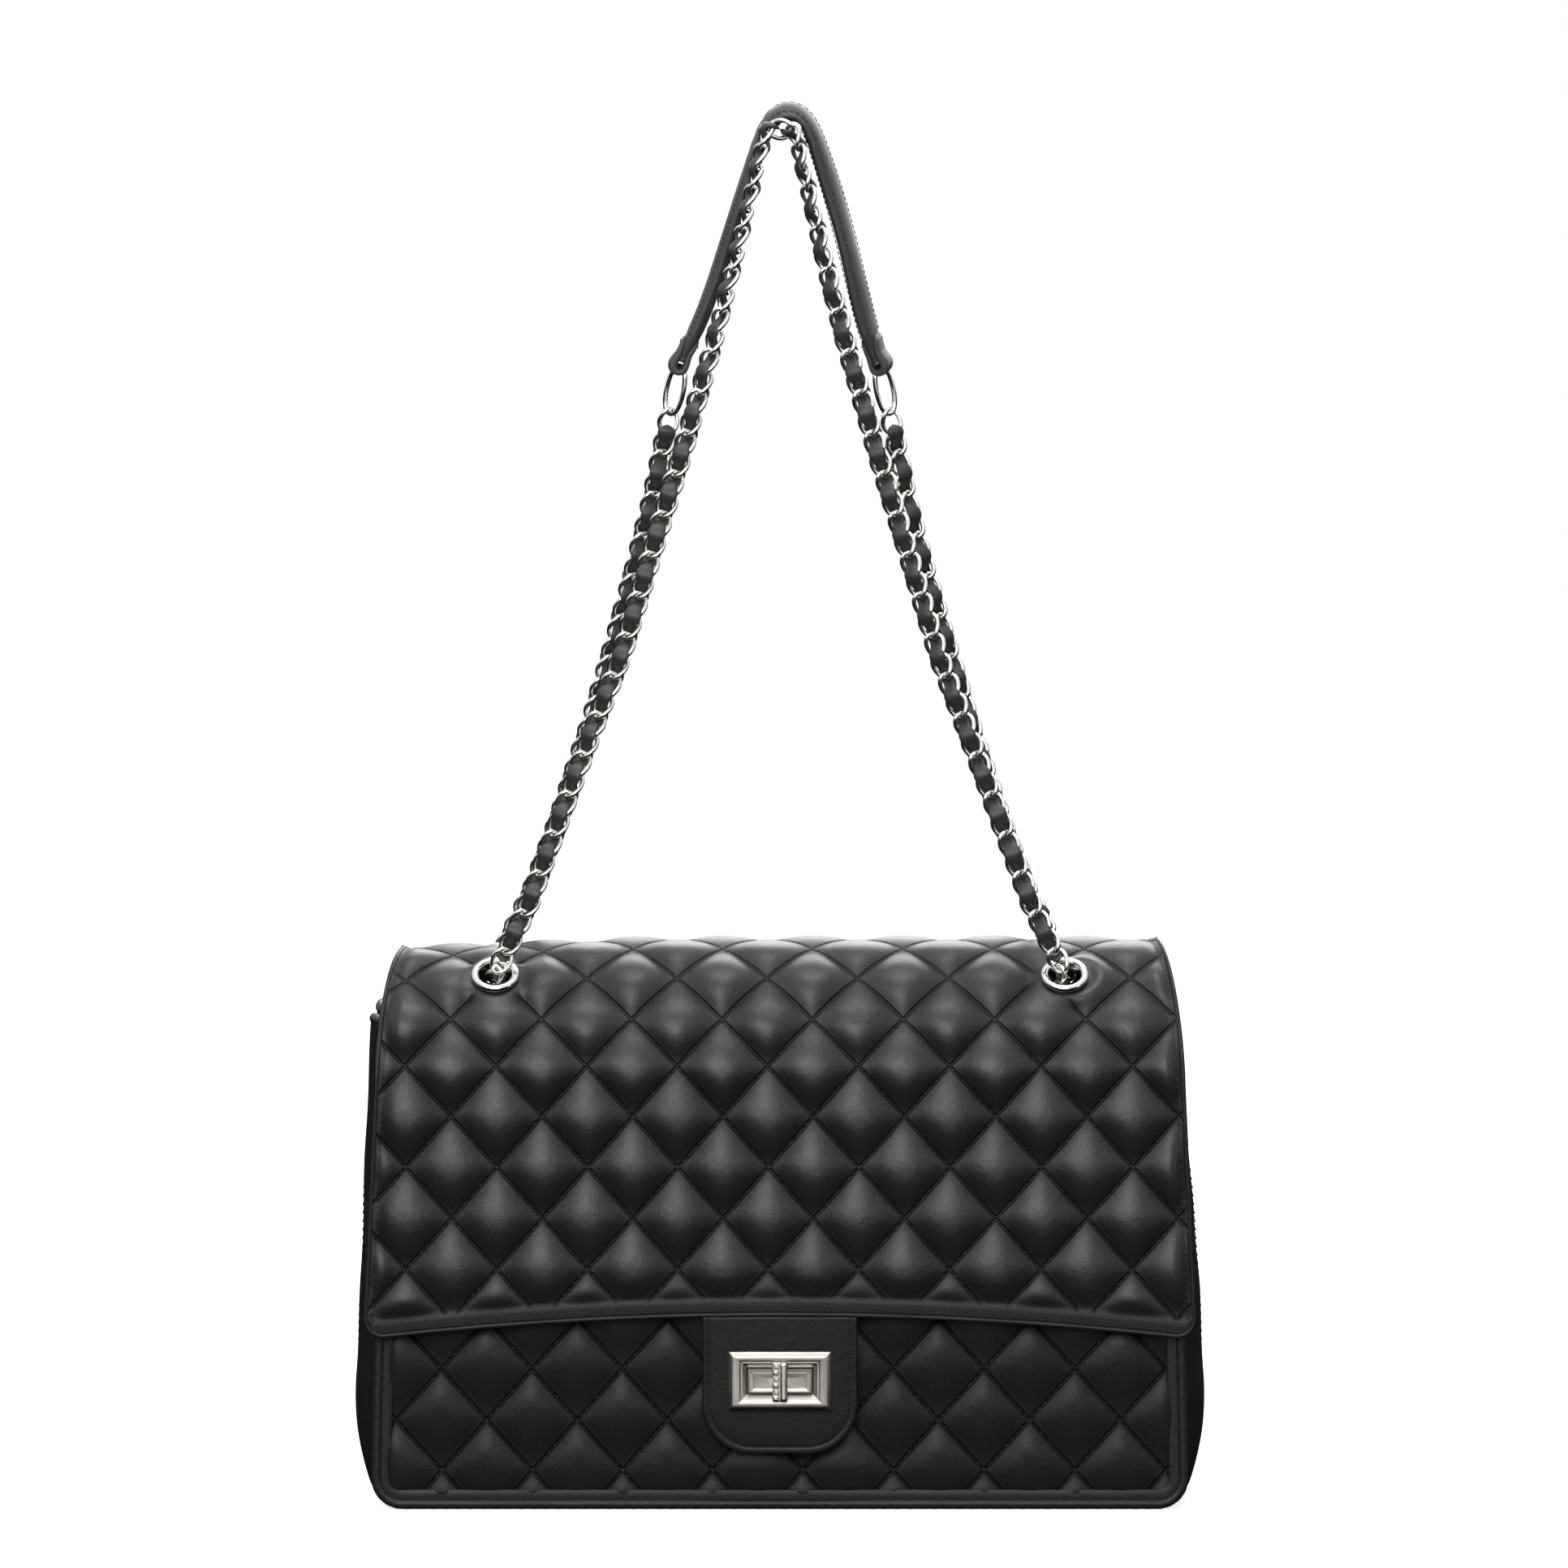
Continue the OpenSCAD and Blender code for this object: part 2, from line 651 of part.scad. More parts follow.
// A flat washer touches the curved lining only along a line, so it sits just inside it
washer_seat = sqrt(pow(dome_in, 2) - pow(eyelet_od / 2, 2)) - eyelet_washer_t - skin_gap;

// Chain

// One oval link about the origin, its length along Z, its plane the XZ plane
module link(l, w, d) {
    r = (w - d) / 2;
    half = (l - d) / 2 - r;
    rotate([90, 0, 0]) for (turn = [0, 180]) rotate([0, 0, turn]) {
        translate([0, half, 0]) rotate_extrude(angle = 180, $fn = 32) translate([r, 0])
            circle(d = d, $fn = 24);
        translate([r, -half, 0]) rotate([-90, 0, 0]) cylinder(d = d, h = 2 * half, $fn = 24);
    }
}

// Links first to last along a path: even links lie across the path's plane at both ends, and
// between them all are turned further, by up to the given twist
module links(path, start, step, first, last, turn) {
    sums = path_sums(path);
    for (i = [first : last]) {
        s = start + i * step;
        at = path_at(path, sums, s);
        twist = turn * min(1, i / twist_links, (last - i) / twist_links);
        translate([at[0], 0, at[1]]) rotate([0, path_angle(path, sums, s), 0])
            rotate([0, 0, 90 + 90 * i + twist]) link(link_l, link_w, wire_d);
    }
}

// Rings of points round a path: a flattened round, w across in the path's plane and t deep
function rings(path, s0, s1, w, t, sides, n) = let (sums = path_sums(path))
    [for (k = [0 : n]) let (s = s0 + (s1 - s0) * k / n, at = path_at(path, sums, s),
        a = path_angle(path, sums, s)) for (j = [0 : sides - 1]) let (u = 360 * (j + 0.5) / sides,
        c = w / 2 * cos(u), e = t / 2 * sin(u)) [at[0] + c * cos(a), e, at[1] - c * sin(a)]];

// Faces between n + 1 such rings, the first point being number base
function ring_faces(sides, n, base) = [for (k = [0 : n - 1]) for (j = [0 : sides - 1])
    let (a = base + k * sides + j, b = base + k * sides + (j + 1) % sides)
        each [[a + sides, b + sides, b], [a + sides, b, a]]];

function turned(faces) = [for (f = faces) reversed(f)];

// A solid band swept along a path
module band(path, s0, s1, w, t, sides, step) {
    n = ceil((s1 - s0) / step);
    ends = [[for (j = [0 : sides - 1]) j], [for (j = [sides - 1 : -1 : 0]) n * sides + j]];
    polyhedron(rings(path, s0, s1, w, t, sides, n), concat(ring_faces(sides, n, 0), ends));
}

// A tube swept along a path with walls of the given thickness, open at both ends
module sleeve(path, s0, s1, w, t, wall, sides, step) {
    n = ceil((s1 - s0) / step);
    count = (n + 1) * sides;
    last = n * sides;
    rims = [for (j = [0 : sides - 1]) let (i = (j + 1) % sides)
        each [[j, i, count + i], [j, count + i, count + j],
            [last + i, last + j, count + last + j], [last + i, count + last + j, count + last + i]]];
    polyhedron(concat(rings(path, s0, s1, w, t, sides, n),
        rings(path, s0, s1, w - 2 * wall, t - 2 * wall, sides, n)),
        concat(ring_faces(sides, n, 0), turned(ring_faces(sides, n, count)), rims));
}

module front_plane() { translate([0, -hinge_y, hinge_z]) rotate([-front_tilt, 0, 0]) children(); }
module rear_plane() { translate([0, hinge_y, hinge_z]) rotate([rear_tilt, 0, 0]) children(); }
module under_plane(x) { translate([x, 0, wall_h]) rotate([0, 0, 90]) children(); }

module under_flap_chains() {
    color(steel_colour) for (x = [-chain_x, chain_x]) under_plane(x)
        links(under_path, pivot_out, under_pitch, 0, under_links, 0);
}

module under_flap_laces() {
    color(leather_colour) for (x = [-chain_x, chain_x]) under_plane(x)
        band(under_path, lace_start, under_l - lace_start, lace_t, lace_w, lace_sides, lace_step / 2);
}

module front_chain_right() {
    color(steel_colour) front_plane() links(front_path, 0, front_pitch, 1, front_links, full_twist);
}

module front_chain_left() {
    color(steel_colour) front_plane() mirror([1, 0, 0])
        links(front_path, 0, front_pitch, 0, front_links, full_twist);
}

module front_lace() {
    whole = concat(reversed(mirrored(front_path)), [for (i = [1 : len(front_path) - 1]) front_path[i]]);
    color(leather_colour) front_plane()
        band(whole, lace_start, 2 * front_half_l - lace_start, lace_w, lace_t, lace_sides, lace_step);
}

module rear_chain_right() {
    color(steel_colour) rear_plane() links(rear_path, pivot_in, rear_pitch, 0, rear_links, full_twist);
}

module rear_chain_left() { mirror([1, 0, 0]) rear_chain_right(); }

module rear_laces() {
    color(leather_colour) rear_plane() for (side = [0, 1]) mirror([side, 0, 0])
        band(rear_path, lace_start, rear_l - lace_start, lace_w, lace_t, lace_sides, lace_step);
}

// Shoulder pad

// Stands at the lower pivot of a pad ring with Z up along the ring
module at_ring(side) {
    mirror([side, 0, 0]) translate([rear_path[0][0], 0, rear_path[0][1]])
        rotate([0, rear_lean - 180, 0]) children();
}

ring_span = ring_l - ring_wire_d;

module pad_rings() {
    color(steel_colour) rear_plane() for (side = [0, 1]) at_ring(side)
        translate([0, 0, ring_span / 2]) link(ring_l, ring_w, ring_wire_d);
}

module pad_end_loops() {
    color(leather_colour) rear_plane() for (side = [0, 1]) at_ring(side)
        translate([0, 0, ring_span]) difference() {
            translate([-loop_t / 2, -loop_w / 2, -loop_below])
                cube([loop_t, loop_w, loop_below + loop_above]);
            translate([0, 0, -loop_sag]) rotate([0, 90, 0])
                cylinder(d = loop_bore_d, h = 2 * loop_t, center = true);
        }
}

pad_l = path_length(pad_path);
pad_step = 8;
pad_core_in = 9;

module shoulder_pad_cover() {
    color(leather_colour) rear_plane()
        sleeve(pad_path, 0, pad_l, pad_t, pad_w, pad_skin_t, pad_sides, pad_step);
}

module shoulder_pad_core() {
    inner = 2 * (pad_skin_t + skin_gap);
    color(board_colour) rear_plane()
        band(pad_path, pad_core_in, pad_l - pad_core_in, pad_t - inner, pad_w - inner, pad_sides, pad_step);
}

front_panel();
back_panel();
left_gusset();
right_gusset();
base_panel();
base_board();
front_board();
back_board();
lining();
slip_pocket();
mouth_binding();
front_piping();
back_piping();
lock_boss();
lock_washer();
flap_cover();
flap_lining();
flap_binding();
lock_tab();
lock_frame();
lock_frame_back();
front_eyelets();
rear_eyelets();
eyelet_washers();
under_flap_chains();
under_flap_laces();
turn_bar();
spindle_clip();
front_chain_left();
front_chain_right();
front_lace();
rear_chain_left();
rear_chain_right();
rear_laces();
pad_rings();
pad_end_loops();
shoulder_pad_cover();
shoulder_pad_core();
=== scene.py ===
# %% [markdown]
# # A quilted shoulder bag with a laced chain strap
#
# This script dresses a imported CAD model. The CAD solids are the fixed frame: they say where each
# piece is and how it moves. Here every soft piece gets the shape that leather, wadding and cloth
# take, and every metal piece gets its edges and its polish. Lengths are in metres, as Blender's are.

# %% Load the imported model
import math

import bpy
import numpy as np
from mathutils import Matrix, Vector


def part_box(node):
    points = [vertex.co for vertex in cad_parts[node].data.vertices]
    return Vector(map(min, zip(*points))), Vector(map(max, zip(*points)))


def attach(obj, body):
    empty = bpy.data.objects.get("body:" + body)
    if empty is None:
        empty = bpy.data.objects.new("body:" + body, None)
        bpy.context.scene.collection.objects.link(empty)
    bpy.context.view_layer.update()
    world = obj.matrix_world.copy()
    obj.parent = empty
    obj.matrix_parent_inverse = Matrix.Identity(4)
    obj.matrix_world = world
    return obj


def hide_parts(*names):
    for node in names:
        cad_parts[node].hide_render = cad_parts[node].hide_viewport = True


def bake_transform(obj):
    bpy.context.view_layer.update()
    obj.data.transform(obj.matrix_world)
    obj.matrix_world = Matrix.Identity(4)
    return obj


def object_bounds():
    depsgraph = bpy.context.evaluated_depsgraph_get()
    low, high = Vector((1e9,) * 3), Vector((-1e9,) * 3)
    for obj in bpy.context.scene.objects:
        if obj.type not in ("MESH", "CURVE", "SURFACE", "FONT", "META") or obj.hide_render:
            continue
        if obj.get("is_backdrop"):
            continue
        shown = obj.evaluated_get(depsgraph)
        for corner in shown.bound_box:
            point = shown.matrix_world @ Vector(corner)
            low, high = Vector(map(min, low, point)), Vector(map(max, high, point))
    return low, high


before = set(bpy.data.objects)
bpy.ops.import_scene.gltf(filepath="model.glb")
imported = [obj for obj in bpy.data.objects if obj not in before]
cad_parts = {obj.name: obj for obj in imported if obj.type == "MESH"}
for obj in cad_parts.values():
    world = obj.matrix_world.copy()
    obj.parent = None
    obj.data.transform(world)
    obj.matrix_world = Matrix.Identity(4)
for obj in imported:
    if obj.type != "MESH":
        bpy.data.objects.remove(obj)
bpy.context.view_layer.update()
mm = 0.001

# %% [markdown]
# ## Sizes
#
# A maker works from one sheet of sizes. These repeat the CAD source's values, because a soft piece
# has to sit exactly where its solid is. The top of the bag is a half round about the X axis at the
# height where the straight walls end, so most leather here is placed by a radius from that axis and
# by a length along the leather, measured from the ground up the front.

# %% Sizes
wall_h = 188 * mm            # where the straight walls end and the half round starts
front_r = 52 * mm            # face of the front panel, from the bag's middle
front_t = 6 * mm             # quilted leather with its wadding
flap_r = 58.3 * mm           # outer face of the flap and of the back panel
cover_in_r = 53.8 * mm       # inner face of the flap's outer leather
lining_out_r = 53.7 * mm     # outer face of the flap's lining
lining_in_r = 52.3 * mm      # inner face of the flap's lining
foot_z = 5.1 * mm            # lower edge of the CAD's front and back panels
panel_low = 3.2 * mm         # lower edge of the dressed panels, turned in at the base
foot_r = 9 * mm              # their lower corners
panel_half = 175 * mm        # half width of the panels at the seams
piping_r = 2.2 * mm
flap_half = 182 * mm         # half width of the flap at its lower edge
flap_edge_z = 78 * mm        # its lower corners
flap_edge_rise = 9.6 * mm    # its lower edge rises to the middle
flap_corner_r = 8 * mm
eyelet_x = 125 * mm
eyelet_angle = math.radians(52)
chain_x = 123.55 * mm        # the chains lean on the inner side of each eyelet
lock_z = 58.5 * mm
top_v = wall_h + math.pi * flap_r      # where the flap's leather meets the back panel
back_v = top_v + wall_h - panel_low    # the back panel's foot, measured the same way

# %% [markdown]
# ## Mesh helpers
#
# Three ways of making a mesh cover the whole bag. A slab is two sheets of points with a wall round
# their edge, for leather panels. A sweep carries a ring of points along a line, for piping, wire and
# lace. A lathe turns a profile about an axis, for eyelets. All give closed meshes, so that the piece
# has a real thickness and can be printed or measured.

# %% Mesh helpers
def outward(points, faces):
    """Turns a closed mesh's faces to look outwards."""
    triangles = np.array([[f[0], f[i], f[i + 1]] for f in faces for i in range(1, len(f) - 1)])
    a, b, c = (points[triangles[:, k]] for k in range(3))
    if np.einsum("ij,ij->i", a, np.cross(b, c)).sum() < 0:
        faces = [f[::-1] for f in faces]
    return points, faces


def slab(outer, inner, keep=None):
    """A closed sheet between two grids of points. keep says which cells of the grid are there."""
    rows, cols = outer.shape[:2]
    count = rows * cols
    if keep is None:
        keep = np.ones((rows - 1, cols - 1), bool)
    corner = np.arange(count).reshape(rows, cols)
    quads = np.stack([corner[:-1, :-1], corner[:-1, 1:], corner[1:, 1:], corner[1:, :-1]], -1)
    around = np.pad(keep, 1)
    walls = []
    for side, shift in enumerate([(0, 1), (1, 2), (2, 1), (1, 0)]):
        beyond = around[shift[0]:shift[0] + rows - 1, shift[1]:shift[1] + cols - 1]
        edge = quads[keep & ~beyond]
        a, b = edge[:, side], edge[:, (side + 1) % 4]
        walls.append(np.stack([b, a, a + count, b + count], -1))
    kept = quads[keep]
    faces = np.concatenate([kept, kept[:, ::-1] + count, *walls]).tolist()
    points = np.concatenate([outer.reshape(-1, 3), inner.reshape(-1, 3)])
    used = np.unique(np.array(faces))
    new = np.full(len(points), -1)
    new[used] = np.arange(len(used))
    return outward(points[used], new[np.array(faces)].tolist())


def ring_faces(rings, sides, loop=False):
    """Quads between rings of points."""
    i = np.arange(rings if loop else rings - 1)[:, None]
    j = np.arange(sides)[None, :]
    nxt = (i + 1) % rings
    k = (j + 1) % sides
    quads = np.stack([i * sides + j, i * sides + k, nxt * sides + k, nxt * sides + j], -1)
    return quads.reshape(-1, 4).tolist()


def capped(rings):
    """A closed mesh from rings of points, with a face over each end."""
    count, sides = rings.shape[:2]
    ends = [list(range(sides))[::-1], list(range((count - 1) * sides, count * sides))]
    return outward(rings.reshape(-1, 3), ring_faces(count, sides) + ends)


def sweep(centres, a, b, sides=12, loop=False, power=1.0):
    """A closed tube round a line: a and b are the ring's two half axes at each point."""
    u = 2 * np.pi * (np.arange(sides) + 0.5) / sides
    c, s = (np.sign(w) * np.abs(w) ** power for w in (np.cos(u), np.sin(u)))
    rings = centres[:, None] + a[:, None] * c[None, :, None] + b[:, None] * s[None, :, None]
    if not loop:
        return capped(rings)
    return outward(rings.reshape(-1, 3), ring_faces(len(centres), sides, loop))


def lathe(profile, origin, axis, sides=64):
    """Turns a closed profile of (radius, height) points about an axis."""
    axis = np.array(axis, float)
    side = np.cross(axis, (0.0, 0.3, 1.0))
    side /= np.linalg.norm(side)
    other = np.cross(axis, side)
    u = 2 * np.pi * np.arange(sides) / sides
    r, h = np.array(profile).T
    out = np.cos(u)[:, None] * side + np.sin(u)[:, None] * other
    points = np.array(origin) + out[:, None] * r[None, :, None] + axis * h[None, :, None]
    return outward(points.reshape(-1, 3), ring_faces(sides, len(profile), loop=True))


def mesh_object(name, points, faces, materials):
    """An object of the scene from points and faces."""
    mesh = bpy.data.meshes.new(name)
    mesh.from_pydata(points, [], faces)
    obj = bpy.data.objects.new(name, mesh)
    bpy.context.scene.collection.objects.link(obj)
    for material in materials:
        mesh.materials.append(material)
    return obj


def piece(name, parts, materials, body=None, sharp=None):
    """One piece of the bag from closed meshes, with smooth shading."""
    points, faces, start = [], [], 0
    for part_points, part_faces in parts:
        points.append(part_points)
        faces += [[i + start for i in face] for face in part_faces]
        start += len(part_points)
    obj = mesh_object(name, np.concatenate(points).tolist(), faces, materials)
    obj.data.shade_smooth()
    if sharp is not None:
        obj.data.set_sharp_from_angle(angle=math.radians(sharp))
        for face in obj.data.polygons:      # a cast end face is flat right up to its bevel
            face.use_smooth = len(face.vertices) == 4
    if body:
        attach(obj, body)
    print(f"{name}: {len(faces)} faces")
    return obj


def unit(v):
    return v / np.linalg.norm(v, axis=-1, keepdims=True)


def taper(count, ends):
    """Ring sizes for a tube with rounded ends, each made of the given number of rings."""
    t = np.minimum(np.arange(count), np.arange(count)[::-1]) / ends
    return np.sqrt(np.clip(1 - (1 - np.clip(t, 0, 1)) ** 2, 0.03, 1))


def path_run(path):
    """Distance along a path to each of its points."""
    return np.concatenate([[0], np.cumsum(np.linalg.norm(np.diff(path, axis=0), axis=1))])


def path_at(path, s):
    """Places on a path at distances s along it."""
    run = path_run(path)
    return np.stack([np.interp(s, run, column) for column in path.T], 1)


def wide_and_high(size):
    """A sweep's half axes along Y and Z, for a line that runs along X."""
    return np.array([[0, 1.0, 0]]) * size, np.array([[0, 0, 1.0]]) * size


# %% [markdown]
# ## Leather laid over the bag's round top
#
# The flap comes up the back, over the half round and down the front. Its leather is flat when it is
# quilted, so the pattern is worked out on the flat leather and then laid over the bag: x stays, and
# the length along the leather becomes a height or an angle.

# %% Laying leather over the top
def over_top(x, v, r, reference=flap_r):
    """Place of a point of the flat leather, at radius r from the round top's axis."""
    angle = np.clip((v - wall_h) / reference, 0, math.pi)
    past = np.maximum(v - wall_h - math.pi * reference, 0)
    below = np.minimum(v - wall_h, 0)
    height = wall_h + r * np.sin(angle) + below - past
    return np.stack([x + 0 * angle, -r * np.cos(angle), height], -1)


def spread(length, step, edge, fine):
    """Places from 0 to length: fine steps within edge of both ends, wider steps between."""
    near = np.arange(0, edge, fine)
    middle = np.linspace(edge, length - edge, max(2, int(round((length - 2 * edge) / step)) + 1))
    return np.concatenate([near, middle, length - near[::-1]])


# %% [markdown]
# ## The quilting
#
# Lambskin is laid on wadding and sewn through along two families of slanted lines. Each diamond
# swells between its seams: steep at the thread, nearly flat on top. The product of one rounded step
# for each family gives exactly that form, and a small chance difference from diamond to diamond
# keeps it from looking pressed in a mould.

# %% The quilting
diamond_w = 39.8 * mm
diamond_h = 45 * mm
puff_power = 2.2
flap_quilt = (14.8 * mm, 84.9 * mm)      # one crossing of the seams, x and length along the leather
front_quilt = (10.5 * mm, 62.3 * mm)


def seam_step(t, crest, power=puff_power):
    """0 on a seam and 1 at the crest, given as a share of the way to the next seam."""
    part = t - np.floor(t)
    return 1 - np.where(part < crest, 1 - part / crest, (part - crest) / (1 - crest)) ** power


def seam_bend(x, v):
    """How far a seam strays sideways, as no row of sewing is quite straight."""
    return 0.35 * mm * np.sin(v / (31 * mm)) + 0.3 * mm * np.sin(x / (47 * mm) + 1)


def seam_count(x, v, crossing):
    """How many seams of each family lie between a place and the crossing."""
    across = (x + seam_bend(x, v) - crossing[0]) / diamond_w
    along = (v - crossing[1]) / diamond_h
    return across + along, across - along


def quilt(x, v, crossing, crest):
    """Height of the quilting from 0 in the seams to about 1; crest below 0.5 lets the wadding sink."""
    a, b = seam_count(x, v, crossing)
    chance = np.sin(12.9 * np.floor(a) + 78.2 * np.floor(b)) * 43758.5
    full = 0.92 + 0.16 * (chance - np.floor(chance))
    return full * seam_step(a, crest) * seam_step(b, 1 - crest)


def rounded_step(d, width, power=puff_power):
    """0 at the edge, 1 from the given distance on, as leather rises from a seam."""
    return 1 - (1 - np.clip(d / width, 0, 1)) ** power


def soft_step(d, width):
    """0 at the edge, 1 from the given distance on, with no kink at either end."""
    part = np.clip(d / width, 0, 1)
    return part * part * (3 - 2 * part)


def edge_round(d, r):
    """How far the leather falls within r of its turned edge."""
    return r - np.sqrt(np.maximum(r * r - np.clip(r - d, 0, r) ** 2, 0))


# %% [markdown]
# ## Colours and nodes
#
# Colours are picked as sRGB hex values, as a designer reads them, and shader sockets want linear
# light, so one function turns them. One other function adds a node with its settings, values and
# wires, which keeps each material readable as a list.

# %% Colours and nodes
def linear(hex_colour):
    parts = [int(hex_colour[i:i + 2], 16) / 255 for i in (1, 3, 5)]
    return [c / 12.92 if c <= 0.04045 else ((c + 0.055) / 1.055) ** 2.4 for c in parts] + [1.0]


def add(tree, kind, settings=None, values=None, links=None):
    """Adds a node, sets its own settings and input values, and wires its inputs."""
    node = tree.nodes.new(kind)
    for key, value in (settings or {}).items():
        setattr(node, key, value)
    for key, value in (values or {}).items():
        node.inputs[key].default_value = value
    for key, output in (links or {}).items():
        tree.links.new(output, node.inputs[key])
    return node


def new_material(name):
    """An empty node material with its output node and its tree."""
    material = bpy.data.materials.new(name)
    material.use_nodes = True
    material.node_tree.nodes.clear()
    return material, material.node_tree


def finish_material(material, tree, shader):
    add(tree, "ShaderNodeOutputMaterial", links={"Surface": shader.outputs[0]})
    return material


def noise(tree, place, scale, detail, distortion=0.0):
    """Soft noise from 0 to 1; scale counts its spots in a metre."""
    return add(tree, "ShaderNodeTexNoise", links={"Vector": place},
               values={"Scale": scale, "Detail": detail, "Distortion": distortion}).outputs[0]


def two_tones(tree, deep, raised, tone):
    """A colour between two, by a tone from 0 to 1."""
    return add(tree, "ShaderNodeMix", {"data_type": "RGBA"}, {6: linear(deep), 7: linear(raised)},
               {0: tone}).outputs[2]


def bumped(tree, height, strength, distance, under=None):
    """Small relief from a height, on top of another relief if one is given."""
    links = {"Height": height} if under is None else {"Height": height, "Normal": under}
    return add(tree, "ShaderNodeBump", values={"Strength": strength, "Distance": distance},
               links=links).outputs[0]


def pattern_material(name, draw, tones, relief, surface):
    """A material whose one pattern gives its two tones and its relief. draw adds the pattern."""
    material, tree = new_material(name)
    height = draw(tree, add(tree, "ShaderNodeTexCoord").outputs["Object"])
    shader = add(tree, "ShaderNodeBsdfPrincipled", values=surface,
                 links={"Base Color": two_tones(tree, *tones, height),
                        "Normal": bumped(tree, height, *relief)})
    return finish_material(material, tree, shader)


# %% [markdown]
# ## Lambskin
#
# The bag's leather is drum-dyed lambskin with a light glaze: near black, soft, with a satin gloss and
# a very fine grain. Real pores are about 0.3 mm, too fine for this picture, so the grain is drawn at
# 0.9 mm. Over it lie soft creases a few millimetres apart. The quilted panels carry a value called
# relief, 0 in the seams and 1 on the crests: handling polishes the crests, so they are a little
# smoother, and the colour is painted lighter on the crests and darker in the seams, as painted light
# and painted shade. A second value, pattern, counts the seams, and from it the shader draws the
# narrow groove that the thread pulls into the leather: a dent in the relief, and a near black line of
# painted shade in the colour.

# %% Lambskin
groove_w = 1.15 * mm
seam_pitch = 1 / math.hypot(1 / diamond_w, 1 / diamond_h)


def near_seam(tree):
    """1 on the quilting's seams and 0 beside them, from the seam counts kept in each vertex."""
    pattern = add(tree, "ShaderNodeAttribute", {"attribute_name": "pattern"})
    parts = add(tree, "ShaderNodeSeparateXYZ", links={0: pattern.outputs["Vector"]})
    ways = [add(tree, "ShaderNodeMath", {"operation": "PINGPONG"}, {1: 0.5}, {0: parts.outputs[k]})
            for k in (0, 1)]
    nearest = add(tree, "ShaderNodeMath", {"operation": "MINIMUM"},
                  links={0: ways[0].outputs[0], 1: ways[1].outputs[0]})
    groove = add(tree, "ShaderNodeMapRange", {"interpolation_type": "SMOOTHSTEP"},
                 {"From Max": groove_w / seam_pitch, "To Min": 1.0, "To Max": 0.0},
                 {"Value": nearest.outputs[0]})
    return add(tree, "ShaderNodeMath", {"operation": "MULTIPLY"},
               links={0: groove.outputs[0], 1: parts.outputs[2]}).outputs[0]


def leather(name, deep, raised, grain=0.9 * mm, gloss=0.42, shine=0.42, relief=False):
    """Leather of two tones. gloss is its mean roughness and shine how strongly it reflects."""
    material, tree = new_material(name)
    place = add(tree, "ShaderNodeTexCoord").outputs["Object"]
    cells = add(tree, "ShaderNodeTexVoronoi", {"feature": "DISTANCE_TO_EDGE"},
                {"Scale": 1 / grain, "Randomness": 1.0}, {"Vector": place})
    plates = add(tree, "ShaderNodeMapRange", values={"From Max": 0.16, "To Max": 1.0},
                 links={"Value": cells.outputs["Distance"]})
    fine = add(tree, "ShaderNodeMath", {"operation": "MULTIPLY_ADD"}, {1: 0.35},
               {0: noise(tree, place, 0.6 / grain, 3.0), 2: plates.outputs[0]})
    creases = noise(tree, place, 1 / (7 * mm), 4.0, 1.2)
    tone = cloud = noise(tree, place, 1 / (45 * mm), 2.0)
    # With relief, the tone is painted lighter on the crests and darker in the seams: painted light and
    # painted shade.
    if relief:
        height = add(tree, "ShaderNodeAttribute", {"attribute_name": "relief"}).outputs["Fac"]
        clouded = add(tree, "ShaderNodeMath", {"operation": "MULTIPLY"}, {1: 0.45}, {0: cloud})
        tone = add(tree, "ShaderNodeMath", {"operation": "MULTIPLY_ADD"}, {1: 0.55},
                   {0: height, 2: clouded.outputs[0]}).outputs[0]
    colour = two_tones(tree, deep, raised, tone)
    rough = add(tree, "ShaderNodeMapRange", values={"To Min": gloss + 0.09, "To Max": gloss - 0.05},
                links={"Value": tone}).outputs[0]
    bump = bumped(tree, creases, 0.35, 0.5 * mm, bumped(tree, fine.outputs[0], 0.5, 0.05 * mm))
    if relief:
        rough = add(tree, "ShaderNodeMapRange", values={"From Max": 0.3, "To Min": 0.62},
                    links={"Value": height, "To Max": rough}).outputs[0]
        # The seam's groove is a dent in the bump and a near black painted shade in the colour.
        seam = near_seam(tree)
        colour = add(tree, "ShaderNodeMix", {"data_type": "RGBA"}, {7: linear("#040404")},
                     {0: seam, 6: colour}).outputs[2]
        bump = add(tree, "ShaderNodeBump", {"invert": True}, {"Strength": 1.0, "Distance": 0.9 * mm},
                   {"Height": seam, "Normal": bump}).outputs[0]
    shader = add(tree, "ShaderNodeBsdfPrincipled", values={"IOR": 1.5, "Specular IOR Level": shine},
                 links={"Base Color": colour, "Roughness": rough, "Normal": bump})
    return finish_material(material, tree, shader)


quilted_lambskin = leather("quilted_glazed_lambskin", "#0b0b0c", "#1c1a1a", relief=True)
# The front's copy of the quilted leather is painted darker, as painted shade from the flap above; it is also
# rougher and reflects less.
painted_shade_lambskin = leather("quilted_lambskin_painted_shade", "#090909", "#151414", gloss=0.47, shine=0.24, relief=True)
plain_lambskin = leather("plain_glazed_lambskin", "#0d0d0e", "#151516", shine=0.24)
edge_lambskin = leather("burnished_edge_lambskin", "#0f0f10", "#1a1a1b", gloss=0.44, shine=0.3)
# The lace's colour is the black leather painted lighter, as painted light on the lit strap.
lace_leather = leather("lace_calf_leather_painted_lighter", "#1a1918", "#2c2a28", grain=0.7 * mm, gloss=0.42)
